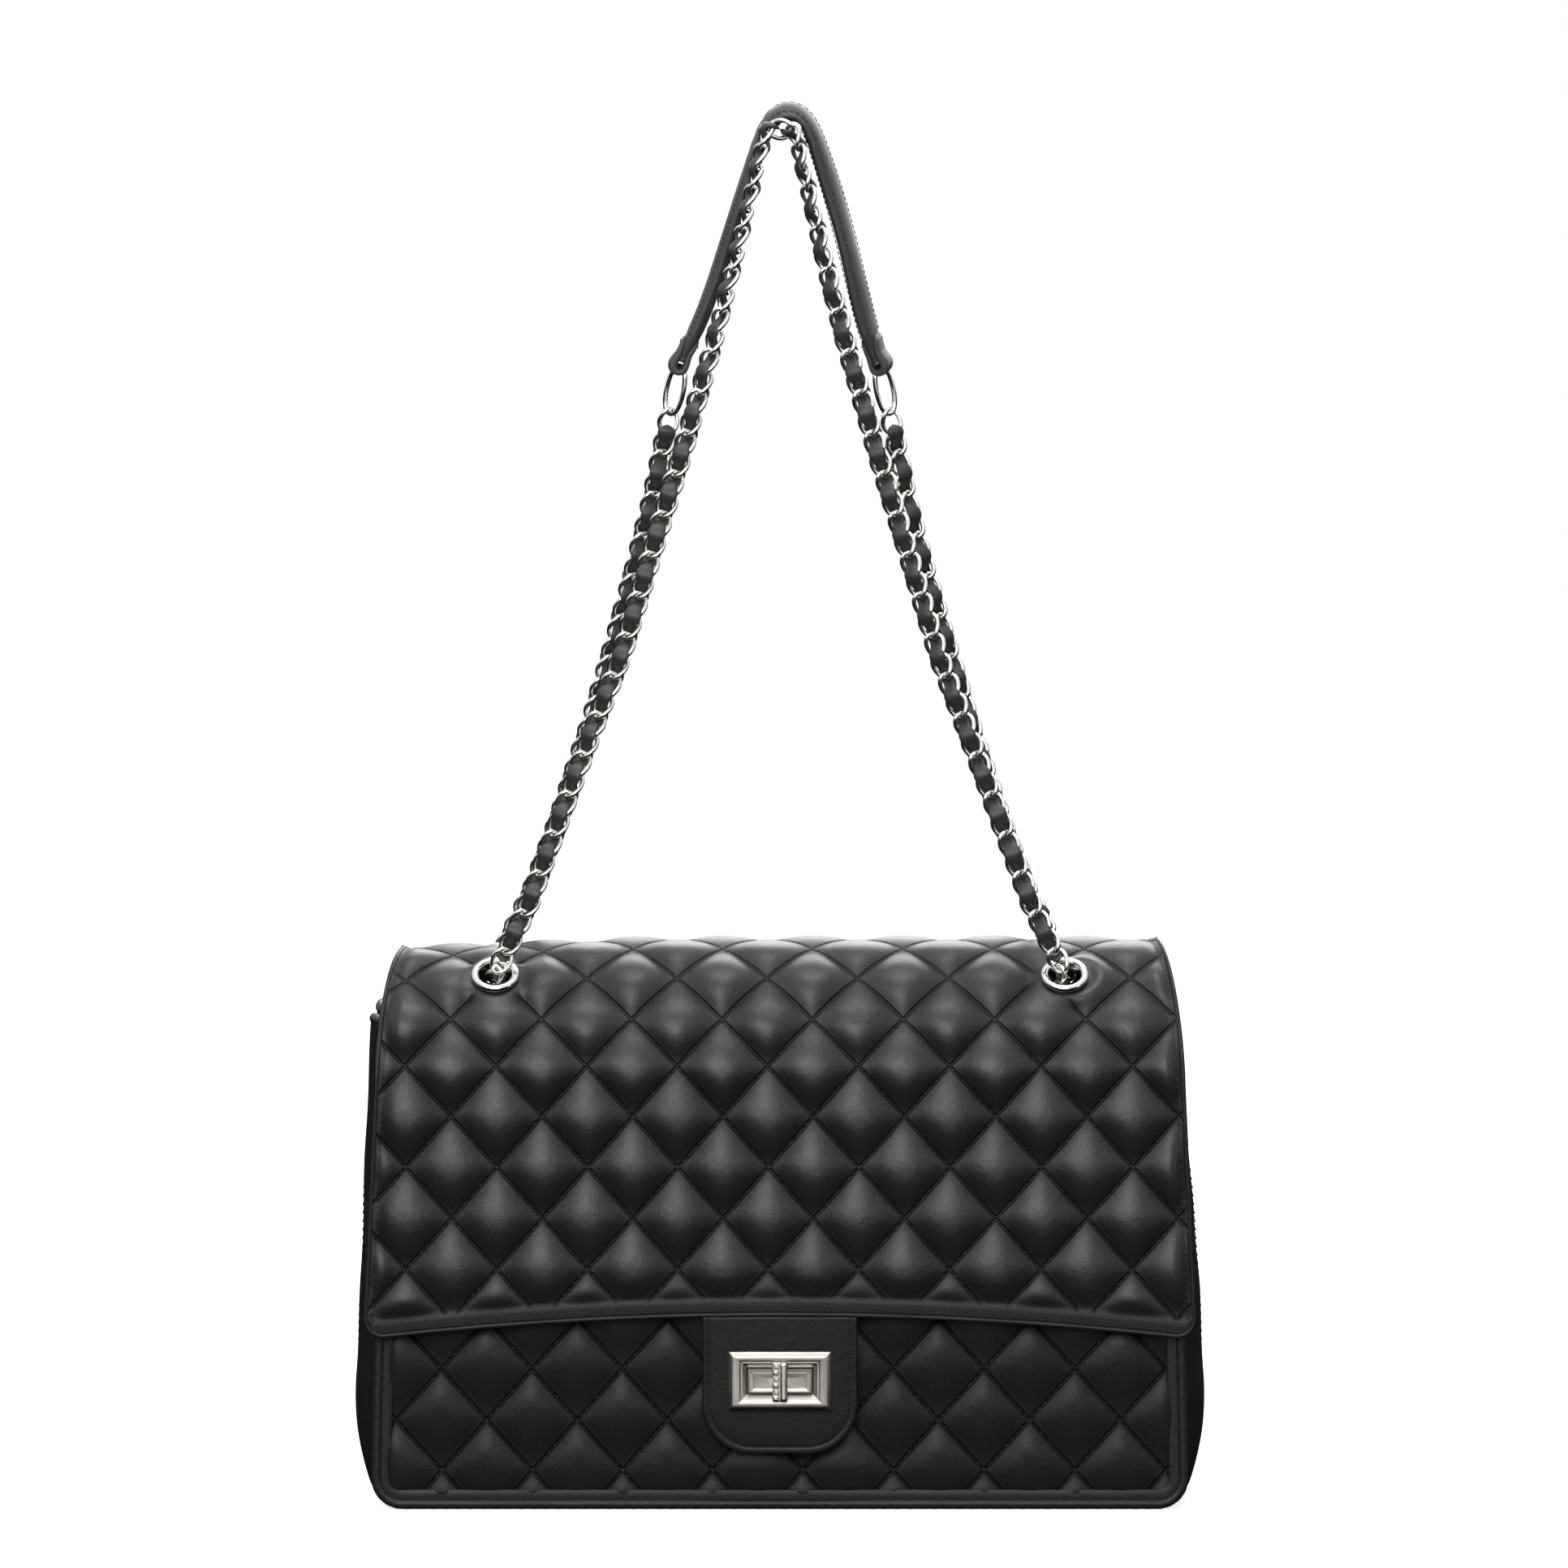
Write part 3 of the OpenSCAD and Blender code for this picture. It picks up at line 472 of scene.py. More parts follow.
# The pad's colour is the black leather painted lighter, as painted light where the strap is lit from above
# and behind.
pad_leather = leather("strap_pad_calf_leather_painted_lighter", "#2b2928", "#42403d", grain=0.8 * mm, gloss=0.5, shine=0.3)
lining_leather = leather("lining_goat_leather", "#121213", "#1b1b1c", grain=1.3 * mm, gloss=0.5)
print("leathers:", len([m for m in bpy.data.materials if "leather" in m.name or "lambskin" in m.name]))

# %% [markdown]
# ## Thread
#
# Bonded polyester thread of about 0.6 mm, black and lightly waxed. Each stitch is its own small
# rounded body, so the shader only has to add the twist of the plies, about 0.5 mm apart.

# %% Thread
def plies(tree, place):
    """The twist of the thread's plies, as slanted bands."""
    return add(tree, "ShaderNodeTexWave", {"bands_direction": "DIAGONAL"},
               {"Scale": 1 / (3 * mm), "Distortion": 0.4}, {"Vector": place}).outputs[1]


thread = pattern_material("waxed_polyester_thread", plies, ("#070707", "#121213"), (0.6, 0.08 * mm),
                          {"Roughness": 0.45, "Specular IOR Level": 0.4})
print("thread:", thread.name)

# %% [markdown]
# ## Metals
#
# Three finishes of nickel plating on brass or zinc. The eyelets are polished nearly to a mirror. The
# chain is tumbled, so it is bright with fine scuffs. The lock is brushed along its length, which
# draws the light out into lines. A metal's colour is its reflection, so the base colour is that of
# nickel, slightly warm, and only the roughness and the fine marks differ.

# %% Metals
def metal(name, colour, roughness, marks, mark_scale, mark_depth):
    """A plated metal: marks stretches the fine scratches along X, Y and Z."""
    material, tree = new_material(name)
    place = add(tree, "ShaderNodeTexCoord").outputs["Object"]
    along = add(tree, "ShaderNodeMapping", values={"Scale": marks}, links={"Vector": place})
    scratches = noise(tree, along.outputs[0], mark_scale, 3.0)
    rough = add(tree, "ShaderNodeMapRange", values={"To Min": roughness * 0.75, "To Max": roughness * 1.35},
                links={"Value": noise(tree, place, 1 / (9 * mm), 2.0)})
    shader = add(tree, "ShaderNodeBsdfPrincipled", values={"Base Color": linear(colour), "Metallic": 1.0},
                 links={"Roughness": rough.outputs[0], "Normal": bumped(tree, scratches, 0.3, mark_depth)})
    return finish_material(material, tree, shader)


polished_nickel = metal("polished_nickel_plate", "#d9d8d6", 0.1, (1, 1, 1), 1 / (3 * mm), 0.02 * mm)
tumbled_nickel = metal("tumbled_nickel_plate", "#dad7d3", 0.25, (1, 1, 1), 1 / (1.5 * mm), 0.04 * mm)
brushed_nickel = metal("brushed_nickel_plate", "#b2aea6", 0.34, (0.05, 1, 1), 1 / (0.5 * mm), 0.05 * mm)

# %% [markdown]
# ## Lining cloth, board and felt
#
# Inside, the bag has a black twill lining on stiff fibre board, and the strap's pad is filled with
# felt. Twill threads are about 0.35 mm apart; they are drawn at 0.8 mm, so that the weave shows.

# %% Lining cloth, board and felt
def weave(tree, place):
    """Twill: slanted threads over level ones."""
    ways = [add(tree, "ShaderNodeTexWave", {"bands_direction": way},
                {"Scale": 0.31 / (0.8 * mm), "Distortion": 0.3, "Detail": 1.0}, {"Vector": place})
            for way in ("DIAGONAL", "Z")]
    return add(tree, "ShaderNodeMath", {"operation": "MULTIPLY"},
               links={0: ways[0].outputs[1], 1: ways[1].outputs[1]}).outputs[0]


def coarse_fibres(tree, place):
    return noise(tree, place, 1 / (4 * mm), 5.0, 2.0)


def fine_fibres(tree, place):
    return noise(tree, place, 1 / (2 * mm), 5.0, 2.0)


twill = pattern_material("black_cotton_twill", weave, ("#121214", "#26262a"), (0.5, 0.15 * mm),
                         {"Roughness": 0.8, "Sheen Weight": 0.25, "Specular IOR Level": 0.25})
fibre_board = pattern_material("grey_fibre_board", coarse_fibres, ("#6f6253", "#8f8270"), (0.5, 0.2 * mm),
                               {"Roughness": 0.85})
felt = pattern_material("wool_felt", fine_fibres, ("#8a857b", "#b3ada1"), (0.5, 0.2 * mm),
                        {"Roughness": 0.85})

hidden_parts = {fibre_board: ("base_board", "front_board", "back_board"),
                brushed_nickel: ("lock_boss", "lock_washer", "lock_frame_back", "spindle_clip"),
                polished_nickel: ("eyelet_washers",)}
for finish, names in hidden_parts.items():
    for name in names:
        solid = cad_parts[name]
        solid.data.materials.clear()
        solid.data.materials.append(finish)
print("CAD solids kept as they are:", sum(len(names) for names in hidden_parts.values()))

# %% [markdown]
# ## Stitches
#
# A seam reads as sewn when each stitch is there: a short, slightly sunk bar of thread with a gap
# after it. One template with a few rings is copied along each seam, from the two ends of each stitch
# and the direction that faces out of the leather.

# %% Stitches
stitch_gap = 3.6 * mm
thread_r = 0.3 * mm
# Each ring of a stitch: its place along the stitch, its size, and how far it sinks in.
stitch_rings = ((-0.5, 0.35, 0.7), (-0.36, 0.9, 0.2), (0.0, 1.0, 0.0), (0.36, 0.9, 0.2), (0.5, 0.35, 0.7))


def stitches(starts, ends, out, share=0.78, radius=thread_r):
    """Thread bars from the starts to the ends of stitches, in one mesh."""
    starts, ends = np.asarray(starts), np.asarray(ends)
    middle, run = (starts + ends) / 2, ends - starts
    length = np.linalg.norm(run, axis=1)[:, None]
    t = run / length
    out = unit(out - (out * t).sum(1, keepdims=True) * t)
    side = np.cross(t, out)
    sides = 6
    u = 2 * np.pi * np.arange(sides) / sides
    around = side[:, None] * np.cos(u)[None, :, None] + out[:, None] * np.sin(u)[None, :, None]
    rings = []
    for along, size, sink in stitch_rings:
        centre = middle + t * length * share * along - out * radius * sink
        rings.append(centre[:, None] + around * radius * size)
    rings = np.stack(rings, 1)
    count = len(stitch_rings) * sides
    one = capped(rings[0])[1]
    return rings.reshape(-1, 3), [[i + k * count for i in face] for k in range(len(starts)) for face in one]


def seam_places(crossing, low, high, half, inside):
    """Starts and ends of the stitches of both families of quilting seams, on the flat leather."""
    rise = stitch_gap * diamond_h / math.hypot(diamond_w, diamond_h)
    v = np.arange(low, high, rise)
    found = []
    for lean in (-1, 1):
        slope = lean * diamond_w / diamond_h
        for k in range(-30, 31):
            x = crossing[0] + k * diamond_w - slope * (v - crossing[1])
            near = np.abs(x) < half
            a = np.stack([x[near], v[near]], 1)
            b = a + np.array([-slope * rise, rise])
            good = inside(a[:, 0], a[:, 1]) & inside(b[:, 0], b[:, 1])
            found.append(np.concatenate([a[good], b[good]], 1))
    return np.concatenate(found)


def unbent(x, v):
    """x of the seam once its slight bend is taken into account."""
    return x - seam_bend(x, v)


# %% [markdown]
# ## The flap and the back, one quilted shell
#
# On the real bag one piece of quilted leather makes the back and the flap, so here it is one mesh.
# It could be two solids with a joint between, but then a crack would open where leather only folds. A
# plain hem runs along the lower edge, the sides are turned, and the leather is pressed flat where the
# four eyelets grip it.

# %% The quilted shell
eyelet_seat_r = 10.5 * mm
cover_hole_r, lining_hole_r = 8.2 * mm, 8.8 * mm
quilt_deep = 3.5 * mm        # how far the seams are pulled in from the CAD face
quilt_full = 6.0 * mm        # height of a full diamond above its seams
hem_w = 7 * mm
top_reach = 1.15             # how far from its crown the top is fuller, as an angle
edge_zone, edge_step = 4.5 * mm, 0.7 * mm      # the grid is finer near its edges


def shell_half(v, corner_v):
    """Half width of the flat leather at length v."""
    front = flap_half - 5.5 * mm * np.clip((v - flap_edge_z) / (wall_h - flap_edge_z), 0, 1)
    crown = math.pi / 2 * flap_r
    up = np.clip((v - wall_h) / crown, 0, 1)
    down = np.clip((v - wall_h - crown) / crown, 0, 1)
    half = front - 10 * mm * up ** 1.5 + 8 * mm * down
    foot = np.clip(foot_r - (back_v - v), 0, foot_r)
    half = half - (foot_r - np.sqrt(foot_r ** 2 - foot ** 2))
    low = np.clip(flap_corner_r - (corner_v - flap_edge_z), 0, flap_corner_r)
    return half - (flap_corner_r - np.sqrt(flap_corner_r ** 2 - low ** 2))


def flap_edge(x):
    return flap_edge_z + flap_edge_rise * (1 - np.clip(np.abs(x) / (flap_half - flap_corner_r), 0, 1) ** 2)


eyelet_v = [wall_h + eyelet_angle * flap_r, wall_h + (math.pi - eyelet_angle) * flap_r]


def eyelet_distance(x, v):
    return np.min([np.hypot(np.abs(x) - eyelet_x, v - at) for at in eyelet_v], 0)


def round_holes(x, v, hole_r):
    """Which cells of a grid of places stay, outside the eyelets' holes."""
    cell_x, cell_v = ((w[:-1, :-1] + w[1:, 1:]) / 2 for w in (x, v))
    return eyelet_distance(cell_x, cell_v) > hole_r


def shell_grid(step):
    """Places on the flat leather: rows from the flap's edge to the back's foot."""
    t = spread(2.0, step / flap_half, edge_zone / flap_half, edge_step / flap_half) - 1
    low = spread(wall_h - flap_edge_z, step, edge_zone, edge_step) + flap_edge_z
    high = spread(back_v - wall_h, step, edge_zone, edge_step) + wall_h
    corner_v = np.concatenate([low, high[1:]])[:, None]
    half = shell_half(corner_v, corner_v)
    x = t[None, :] * half
    edge = flap_edge(x)
    drawn = edge + (corner_v - flap_edge_z) * (wall_h - edge) / (wall_h - flap_edge_z)
    v = np.where(corner_v < wall_h, drawn, corner_v)
    return x, v, half - np.abs(x), v - edge


def bell(part):
    """1 at 0 and 0 from 1 on, smooth at both."""
    return 0.5 + 0.5 * np.cos(np.pi * np.clip(np.abs(part), 0, 1))


def past_crown(v):
    """Angle from the crown of the round top."""
    return (v - wall_h) / flap_r - math.pi / 2


def seam_level(x, v):
    """Height of the seams over the CAD face. The top is full in the middle and sinks to the left."""
    sunk = soft_step(-x - 45 * mm, 125 * mm)
    return -quilt_deep + (3.6 - 3.9 * sunk) * mm * bell(past_crown(v) / top_reach)


def shell_height(x, v, side_d, edge_d):
    """Height of the quilted leather over the CAD face, and its relief from 0 to 1."""
    foot_d = back_v - v
    hem = rounded_step(edge_d - hem_w, 10 * mm, 1.6)
    mask = hem * rounded_step(side_d - 1.2 * mm, 8 * mm) * rounded_step(foot_d - mm, 8 * mm)
    below_top = np.clip(1 - np.abs(v - wall_h) / (150 * mm), 0, 1)      # there the wadding sinks
    puffed = quilt(x, v, flap_quilt, 0.5 - 0.1 * below_top) * mask
    flatter = 2.2 * mm * bell(past_crown(v) / top_reach) + 1.9 * mm * bell(past_crown(v) / 0.6)
    level = seam_level(x, v) + (quilt_full - flatter) * puffed
    hem_seam = np.exp(-((hem_w - edge_d) / (0.9 * mm)) ** 2)
    level = np.where(edge_d < hem_w, (0.6 * edge_d / hem_w - 3.0 - 0.6 * hem_seam) * mm, level)
    level = level + 1.3 * mm * np.exp(-((side_d - 0.8 * mm) / (1.5 * mm)) ** 2) * (edge_d > 6 * mm)
    pressed = soft_step(eyelet_distance(x, v) - eyelet_seat_r, 7 * mm)
    off = np.min([np.abs(v - at) for at in eyelet_v], 0) / flap_r
    seat = np.where(off < 0.4, flap_r / np.cos(np.minimum(off, 0.4)) - flap_r, 0)
    level = level * pressed + seat * (1 - pressed)
    fall = edge_round(np.minimum(side_d, edge_d), 1.6 * mm)
    return level - fall, np.clip(puffed, 0, 1), np.minimum(hem * 8, 1) * (side_d > mm) * pressed


def set_relief(obj, relief, counts, sewn):
    """Keeps each outer vertex's relief and seam pattern for the leather's shader."""
    values = np.zeros(len(obj.data.vertices), np.float32)
    values[:len(relief)] = relief
    obj.data.attributes.new("relief", "FLOAT", "POINT").data.foreach_set("value", values)
    pattern = np.zeros((len(obj.data.vertices), 3), np.float32)
    pattern[:len(relief)] = np.stack([counts[0], counts[1], sewn], -1)
    obj.data.attributes.new("pattern", "FLOAT_VECTOR", "POINT").data.foreach_set("vector", pattern.ravel())


x, v, side_d, edge_d = shell_grid(1.15 * mm)
height, relief, sewn = shell_height(x, v, side_d, edge_d)
outer = over_top(x, v, flap_r + height)
on_back = np.clip((v - top_v) / (8 * mm), 0, 1)
inner = over_top(x, v, cover_in_r + 0 * x - 1.2 * mm * on_back)
keep = round_holes(x, v, cover_hole_r)
points, faces = slab(outer, inner, keep)
shell = piece("quilted_shell", [(points, faces)], [quilted_lambskin])
cells_used = np.pad(keep, 1)
used = cells_used[:-1, :-1] | cells_used[1:, :-1] | cells_used[:-1, 1:] | cells_used[1:, 1:]
set_relief(shell, relief[used], [w[used] for w in seam_count(x, v, flap_quilt)], sewn[used])
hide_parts("flap_cover", "back_panel")

# %% [markdown]
# The shell's placement is baked into its points; it is attached to neither the bag nor the flap.


def bend_with_flap(obj):
    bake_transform(obj)


bend_with_flap(shell)


def shell_inside(x, v):
    """Where the quilting is sewn: inside the edges and clear of the eyelets."""
    sides = shell_half(v, v) - np.abs(x) > 4 * mm
    lengthwise = (v - flap_edge(x) > hem_w + mm) & (back_v - v > 4 * mm)
    return sides & lengthwise & (eyelet_distance(x, v) > 11.5 * mm)


seams = seam_places(flap_quilt, flap_edge_z, back_v, flap_half, shell_inside)
seat_r = [flap_r + seam_level(seams[:, k], seams[:, k + 1]) + 0.05 * mm for k in (0, 2)]
ends = [over_top(unbent(seams[:, k], seams[:, k + 1]), seams[:, k + 1], seat_r[k // 2]) for k in (0, 2)]
axis_point = np.array([0, 0, wall_h])
out = ends[0] - axis_point
out[:, 0] = 0
out[:, 2] = np.where(ends[0][:, 2] < wall_h, 0, out[:, 2])
shell_thread = piece("shell_quilting_thread", [stitches(ends[0], ends[1], out)], [thread])
bend_with_flap(shell_thread)

# %% [markdown]
# ## The flap's lining and its edge
#
# Under the flap lies a thin sheet of lining leather. The two are sewn together along a turned edge,
# which shows from the front as a fine line round the flap.

# %% The flap's lining and its edge
def flap_rows(step):
    x, v, side_d, edge_d = shell_grid(step)
    rows = v[:, 0] <= top_v + mm
    return x[rows], v[rows], side_d[rows], edge_d[rows]


x, v, side_d, edge_d = flap_rows(4 * mm)
x = x * (1 - 1.6 * mm / flap_half)
v = np.maximum(v, flap_edge(x) + 1.6 * mm)
sag = 0.25 * mm * np.sin(x / (23 * mm)) * np.sin(v / (37 * mm)) * rounded_step(side_d, 12 * mm)
flap_lining = piece("flap_lining_leather", [slab(over_top(x, v, lining_out_r + 0 * x),
                                                 over_top(x, v, lining_in_r + 0.25 * mm + sag),
                                                 round_holes(x, v, lining_hole_r))],
                    [lining_leather])
bend_with_flap(flap_lining)
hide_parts("flap_lining")

corner = np.linspace(0, math.pi / 2, 14)
edge_v = np.concatenate([np.linspace(top_v - 2 * mm, wall_h, 150),
                         np.linspace(wall_h, flap_edge_z + flap_corner_r, 60)[1:],
                         flap_edge_z + flap_corner_r * (1 - np.sin(corner))[1:]])
side_x = shell_half(edge_v, edge_v)
low_x = np.linspace(flap_half - flap_corner_r, -(flap_half - flap_corner_r), 170)[1:-1]
line_x = np.concatenate([side_x, low_x, -side_x[::-1]])
line_v = np.concatenate([edge_v, flap_edge(low_x), edge_v[::-1]])
rim_r = flap_r + seam_level(line_x, line_v) + 1.7 * mm
mid_r = (rim_r + lining_in_r) / 2
line = over_top(line_x, line_v, mid_r)
along = unit(np.gradient(line, axis=0))
radial = unit(over_top(line_x, line_v, mid_r + mm) - line)
flat = np.cross(along, radial)
half_t = (rim_r - lining_in_r)[:, None] / 2
flap_edging = piece("flap_turned_edge",
                    [sweep(line, flat * 1.1 * mm, radial * half_t, sides=16, power=0.8)],
                    [edge_lambskin])
bend_with_flap(flap_edging)
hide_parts("flap_binding")

# %% [markdown]
# A row of stitches holds the hem 3 mm in from the edge. They lie in the leather's plain strip, so
# they follow the outline drawn in by that much.

# %% Hem stitches
def stitch_row(x, v, r, gap, name, body=None, radius=thread_r):
    """Stitches at even distances along a line on the flat leather."""
    line = over_top(x, v, r)
    run = path_run(line)
    at = np.arange(0, run[-1], gap)
    dense = path_at(line, at)
    xs, vs, rs = (np.interp(at, run, w) for w in (x, v, r))
    out = over_top(xs, vs, rs + mm) - over_top(xs, vs, rs)
    parts = [stitches(dense[:-1], dense[1:], out[:-1], radius=radius)]
    return piece(name, parts, [thread], body)


inset = 3 * mm
row_x = np.clip(line_x * (1 - inset / flap_half), -(flap_half - inset), flap_half - inset)
row_v = np.maximum(line_v, flap_edge(row_x) + inset)
side_gap = shell_half(row_v, row_v) - np.abs(row_x)
row_h, _, _ = shell_height(row_x, row_v, side_gap, row_v - flap_edge(row_x))
hem_thread = stitch_row(row_x, row_v, flap_r + row_h + 0.1 * mm, 3.2 * mm, "flap_hem_thread",
                        radius=0.25 * mm)
bend_with_flap(hem_thread)

# %% [markdown]
# ## The front panel
#
# The same quilted leather makes the front, which turns in over the mouth at its top. Where the flap
# lies on it, the diamonds stay just inside the flap's lining; below the flap they stand freely.

# %% The front panel
front_top_v = wall_h + math.radians(20) * front_r
press_w = 6 * mm             # the top is pressed flat over this width, where it rolls over the mouth
flap_covers_v = 84 * mm      # above this length the flap lies on the front


def side_lean(v):
    """How far the panel's sides have come in at length v."""
    return 5 * mm * (v - foot_z) / (wall_h - foot_z)


def uncovered(v):
    """1 below the flap and 0 under it."""
    return np.clip((flap_covers_v - v) / (10 * mm), 0, 1)


t = spread(2.0, 1.5 * mm / panel_half, 5 * mm / panel_half, 0.8 * mm / panel_half) - 1
rise = spread(front_top_v - panel_low, 1.3 * mm, 5 * mm, 0.8 * mm) + panel_low
v = np.repeat(rise[:, None], len(t), 1)
foot = np.clip(foot_r - (v - panel_low), 0, foot_r)
half = panel_half + 1.2 * mm - side_lean(v) - foot_r + np.sqrt(foot_r ** 2 - foot ** 2)
x = t[None, :] * half
mask = rounded_step(half - np.abs(x) - 0.6 * mm, 7 * mm) * rounded_step(v - panel_low - 0.6 * mm, 7 * mm)
under_tab = np.clip((44 * mm - np.abs(x)) / (8 * mm), 0, 1) * np.clip((v - 20 * mm) / (8 * mm), 0, 1)
mask = mask * (1 - 0.25 * under_tab) * rounded_step(front_top_v - v, press_w)
puffed = quilt(x, v, front_quilt, 0.64) * mask
level = puffed * (3.7 * mm - 0.3 * mm * uncovered(v)) - 4.2 * mm + 0.5 * mm * uncovered(v)
level = level + 2.4 * mm * bell((front_top_v - v) / press_w)
fall = edge_round(np.minimum(half - np.abs(x), v - panel_low), 0.8 * mm)
points, faces = slab(over_top(x, v, front_r + level - fall, front_r),
                     over_top(x, v, front_r - front_t + 0 * x, front_r))
# The front panel takes the darker copy of the quilted leather: painted shade.
front_leather = piece("quilted_front_panel", [(points, faces)], [painted_shade_lambskin], "bag")
set_relief(front_leather, np.clip(puffed, 0, 1).ravel(),
           [w.ravel() for w in seam_count(x, v, front_quilt)], np.minimum(mask * 4, 1).ravel())
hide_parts("front_panel")


def front_inside(x, v):
    """Where the front's quilting is sewn."""
    within = np.abs(x) < panel_half - side_lean(v) - 6 * mm
    return within & (v > foot_z + 6 * mm) & (v < front_top_v - 6 * mm)


seams = seam_places(front_quilt, foot_z, front_top_v, panel_half, front_inside)
seam_r = [front_r - 4.3 * mm + 0.6 * mm * uncovered(seams[:, k]) for k in (1, 3)]
ends = [over_top(unbent(seams[:, k], seams[:, k + 1]), seams[:, k + 1], seam_r[k // 2], front_r)
        for k in (0, 2)]
out = np.repeat([[0.0, -1.0, 0.0]], len(seams), 0)
piece("front_quilting_thread", [stitches(ends[0], ends[1], out)], [thread], "bag")

# %% [markdown]
# ## Gussets
#
# Each gusset is a long piece of soft plain leather, sewn to both panels and puffed by its wadding. It
# stands out past the panels, and a fold runs down its middle, deepest at the mouth, where the bag
# can open wider. A fine whipped seam runs along its rear edge, and its bumps show in the outline.

# %% Gussets
gusset_front, gusset_back = -47.9 * mm, 54.2 * mm
gusset_mid, gusset_half = (gusset_front + gusset_back) / 2, (gusset_back - gusset_front) / 2
gusset_out = panel_half + 13.5 * mm
right_tuck = 7 * mm             # the right gusset's top is pressed in


def gusset_reach(z, tuck=0.0):
    """How far out the gusset stands at each height; tuck pulls its top in."""
    low = np.clip(1 - z / (54 * mm), 0, 1)
    leaning = 7.5 * mm * np.clip((z - 54 * mm) / (162 * mm), 0, 1)
    pressed = tuck * np.clip((z - 95 * mm) / (110 * mm), 0, 1) ** 1.3
    return gusset_out - 14.5 * mm * (1 - np.sqrt(1 - low ** 2)) - (leaning + pressed)


def gusset_point(depth, z, drawn_in=0.0, tuck=0.0):
    """Place on the gusset: depth is -1 at the front seam and 1 at the rear one."""
    reach = gusset_reach(z, tuck)
    seam = np.minimum(reach - 2.5 * mm, panel_half - 5 * mm * z / wall_h + 1.2 * mm)
    foot = np.clip(foot_r + panel_low - z, 0, foot_r)      # in the panels' rounded lower corner
    seam = seam - 1.5 * mm * (z < foot_r) * foot / foot_r - (foot_r - np.sqrt(foot_r ** 2 - foot ** 2))
    full = np.clip(1 - np.abs(depth) ** 3.2, 0, 1) ** 0.6
    fold_deep = 2 * mm + 13 * mm * np.clip((z - 40 * mm) / (170 * mm), 0, 1) ** 1.4
    soft = 0.7 * mm * np.sin(z / (13 * mm) + 2 * depth) * np.sin(z / (29 * mm)) * (1 - depth ** 2)
    x = seam + (reach - seam) * full - fold_deep * np.exp(-(depth / 0.24) ** 2) + soft - drawn_in
    return np.stack([x, gusset_mid + gusset_half * depth - drawn_in * depth, z + 0 * depth], -1)


mouth_z, mouth_r = 216 * mm, 50.5 * mm      # the upper edge is level, and round beside the panels
gusset_foot = 0.6 * mm
gusset_thick = 3.2 * mm
whip_gap = 3.8 * mm
whip_depth = 0.42                           # the whipped seam's place on the way to the rear edge
depth = np.linspace(-1, 1, 81)[None, :]
share = np.linspace(0, 1, 150)[:, None]
round_z = wall_h + np.sqrt(np.maximum(mouth_r ** 2 - (gusset_mid + gusset_half * depth) ** 2, 0))
top_z = np.minimum(mouth_z, round_z) - 6 * mm * np.exp(-(depth / 0.3) ** 2)
z = gusset_foot + share * (top_z - gusset_foot)
depth = depth + 0 * z
top_fall = edge_round(top_z - z, 1.6 * mm)
hem_z = top_z[0] - 1.2 * mm
hem_size = taper(len(hem_z), 4)[:, None]
seam_z = np.arange(6 * mm, 205 * mm, 1.2 * mm)
ridge_size = 1.0 * mm + 0.6 * mm * np.abs(np.sin(np.pi * seam_z / whip_gap))
ridge_size = (ridge_size * taper(len(seam_z), 3))[:, None]
whip_z = np.arange(8 * mm, 203 * mm, whip_gap)
whip_step = np.array([0, 1.5 * mm, 0.6 * mm])
for side, name, tuck in ((-1, "left_gusset", 0.0), (1, "right_gusset", right_tuck)):
    flip = np.array([side, 1.0, 1.0])
    outer, inner = gusset_point(depth, z, 0.0, tuck), gusset_point(depth, z, gusset_thick, tuck)
    outer[..., 0] -= top_fall
    hem_line = gusset_point(depth[0], hem_z, 1.6 * mm, tuck)
    hem_along = unit(np.gradient(hem_line, axis=0))
    hem_up = unit(np.cross(hem_along, np.cross(np.array([0, 0, 1.0]), hem_along)))
    hem_side = np.cross(hem_along, hem_up)
    hem = sweep(hem_line * flip, hem_side * flip * 2.3 * mm * hem_size, hem_up * flip * 2.4 * mm * hem_size)
    puffy = piece(name + "_leather", [slab(outer * flip, inner * flip), hem],
                  [plain_lambskin], "bag")
    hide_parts(name)
    ridge = gusset_point(np.full(len(seam_z), whip_depth), seam_z, 0.2 * mm, tuck)
    ridge_along = unit(np.gradient(ridge, axis=0))
    ridge_out = unit(np.cross(ridge_along, [0.0, -1.0, 0.0])) * ridge_size
    ridge_side = np.cross(ridge_along, ridge_out) * 0.9
    piece(name + "_whipped_seam", [sweep(ridge * flip, ridge_out * flip, ridge_side * flip, 10)],
          [edge_lambskin], "bag")
    whip = gusset_point(np.full(len(whip_z), whip_depth), whip_z, 0.0, tuck) * flip + [1.3 * mm * side, 0, 0]
    out = np.repeat([[side, 0.0, 0.0]], len(whip), 0)
    piece(name + "_whip_stitches", [stitches(whip - whip_step, whip + whip_step, out, 1.0, 0.4 * mm)],
          [thread], "bag")

# %% [markdown]
# ## Base and piping
#
# The base is one plain piece of leather, slightly puffed and turned in at its sides. Piping, a thin
# leather cord in the seam, runs up both sides and along the foot of the front and the back. Its
# flat flange is what is sewn between the panel and the gusset, and it closes the seam.

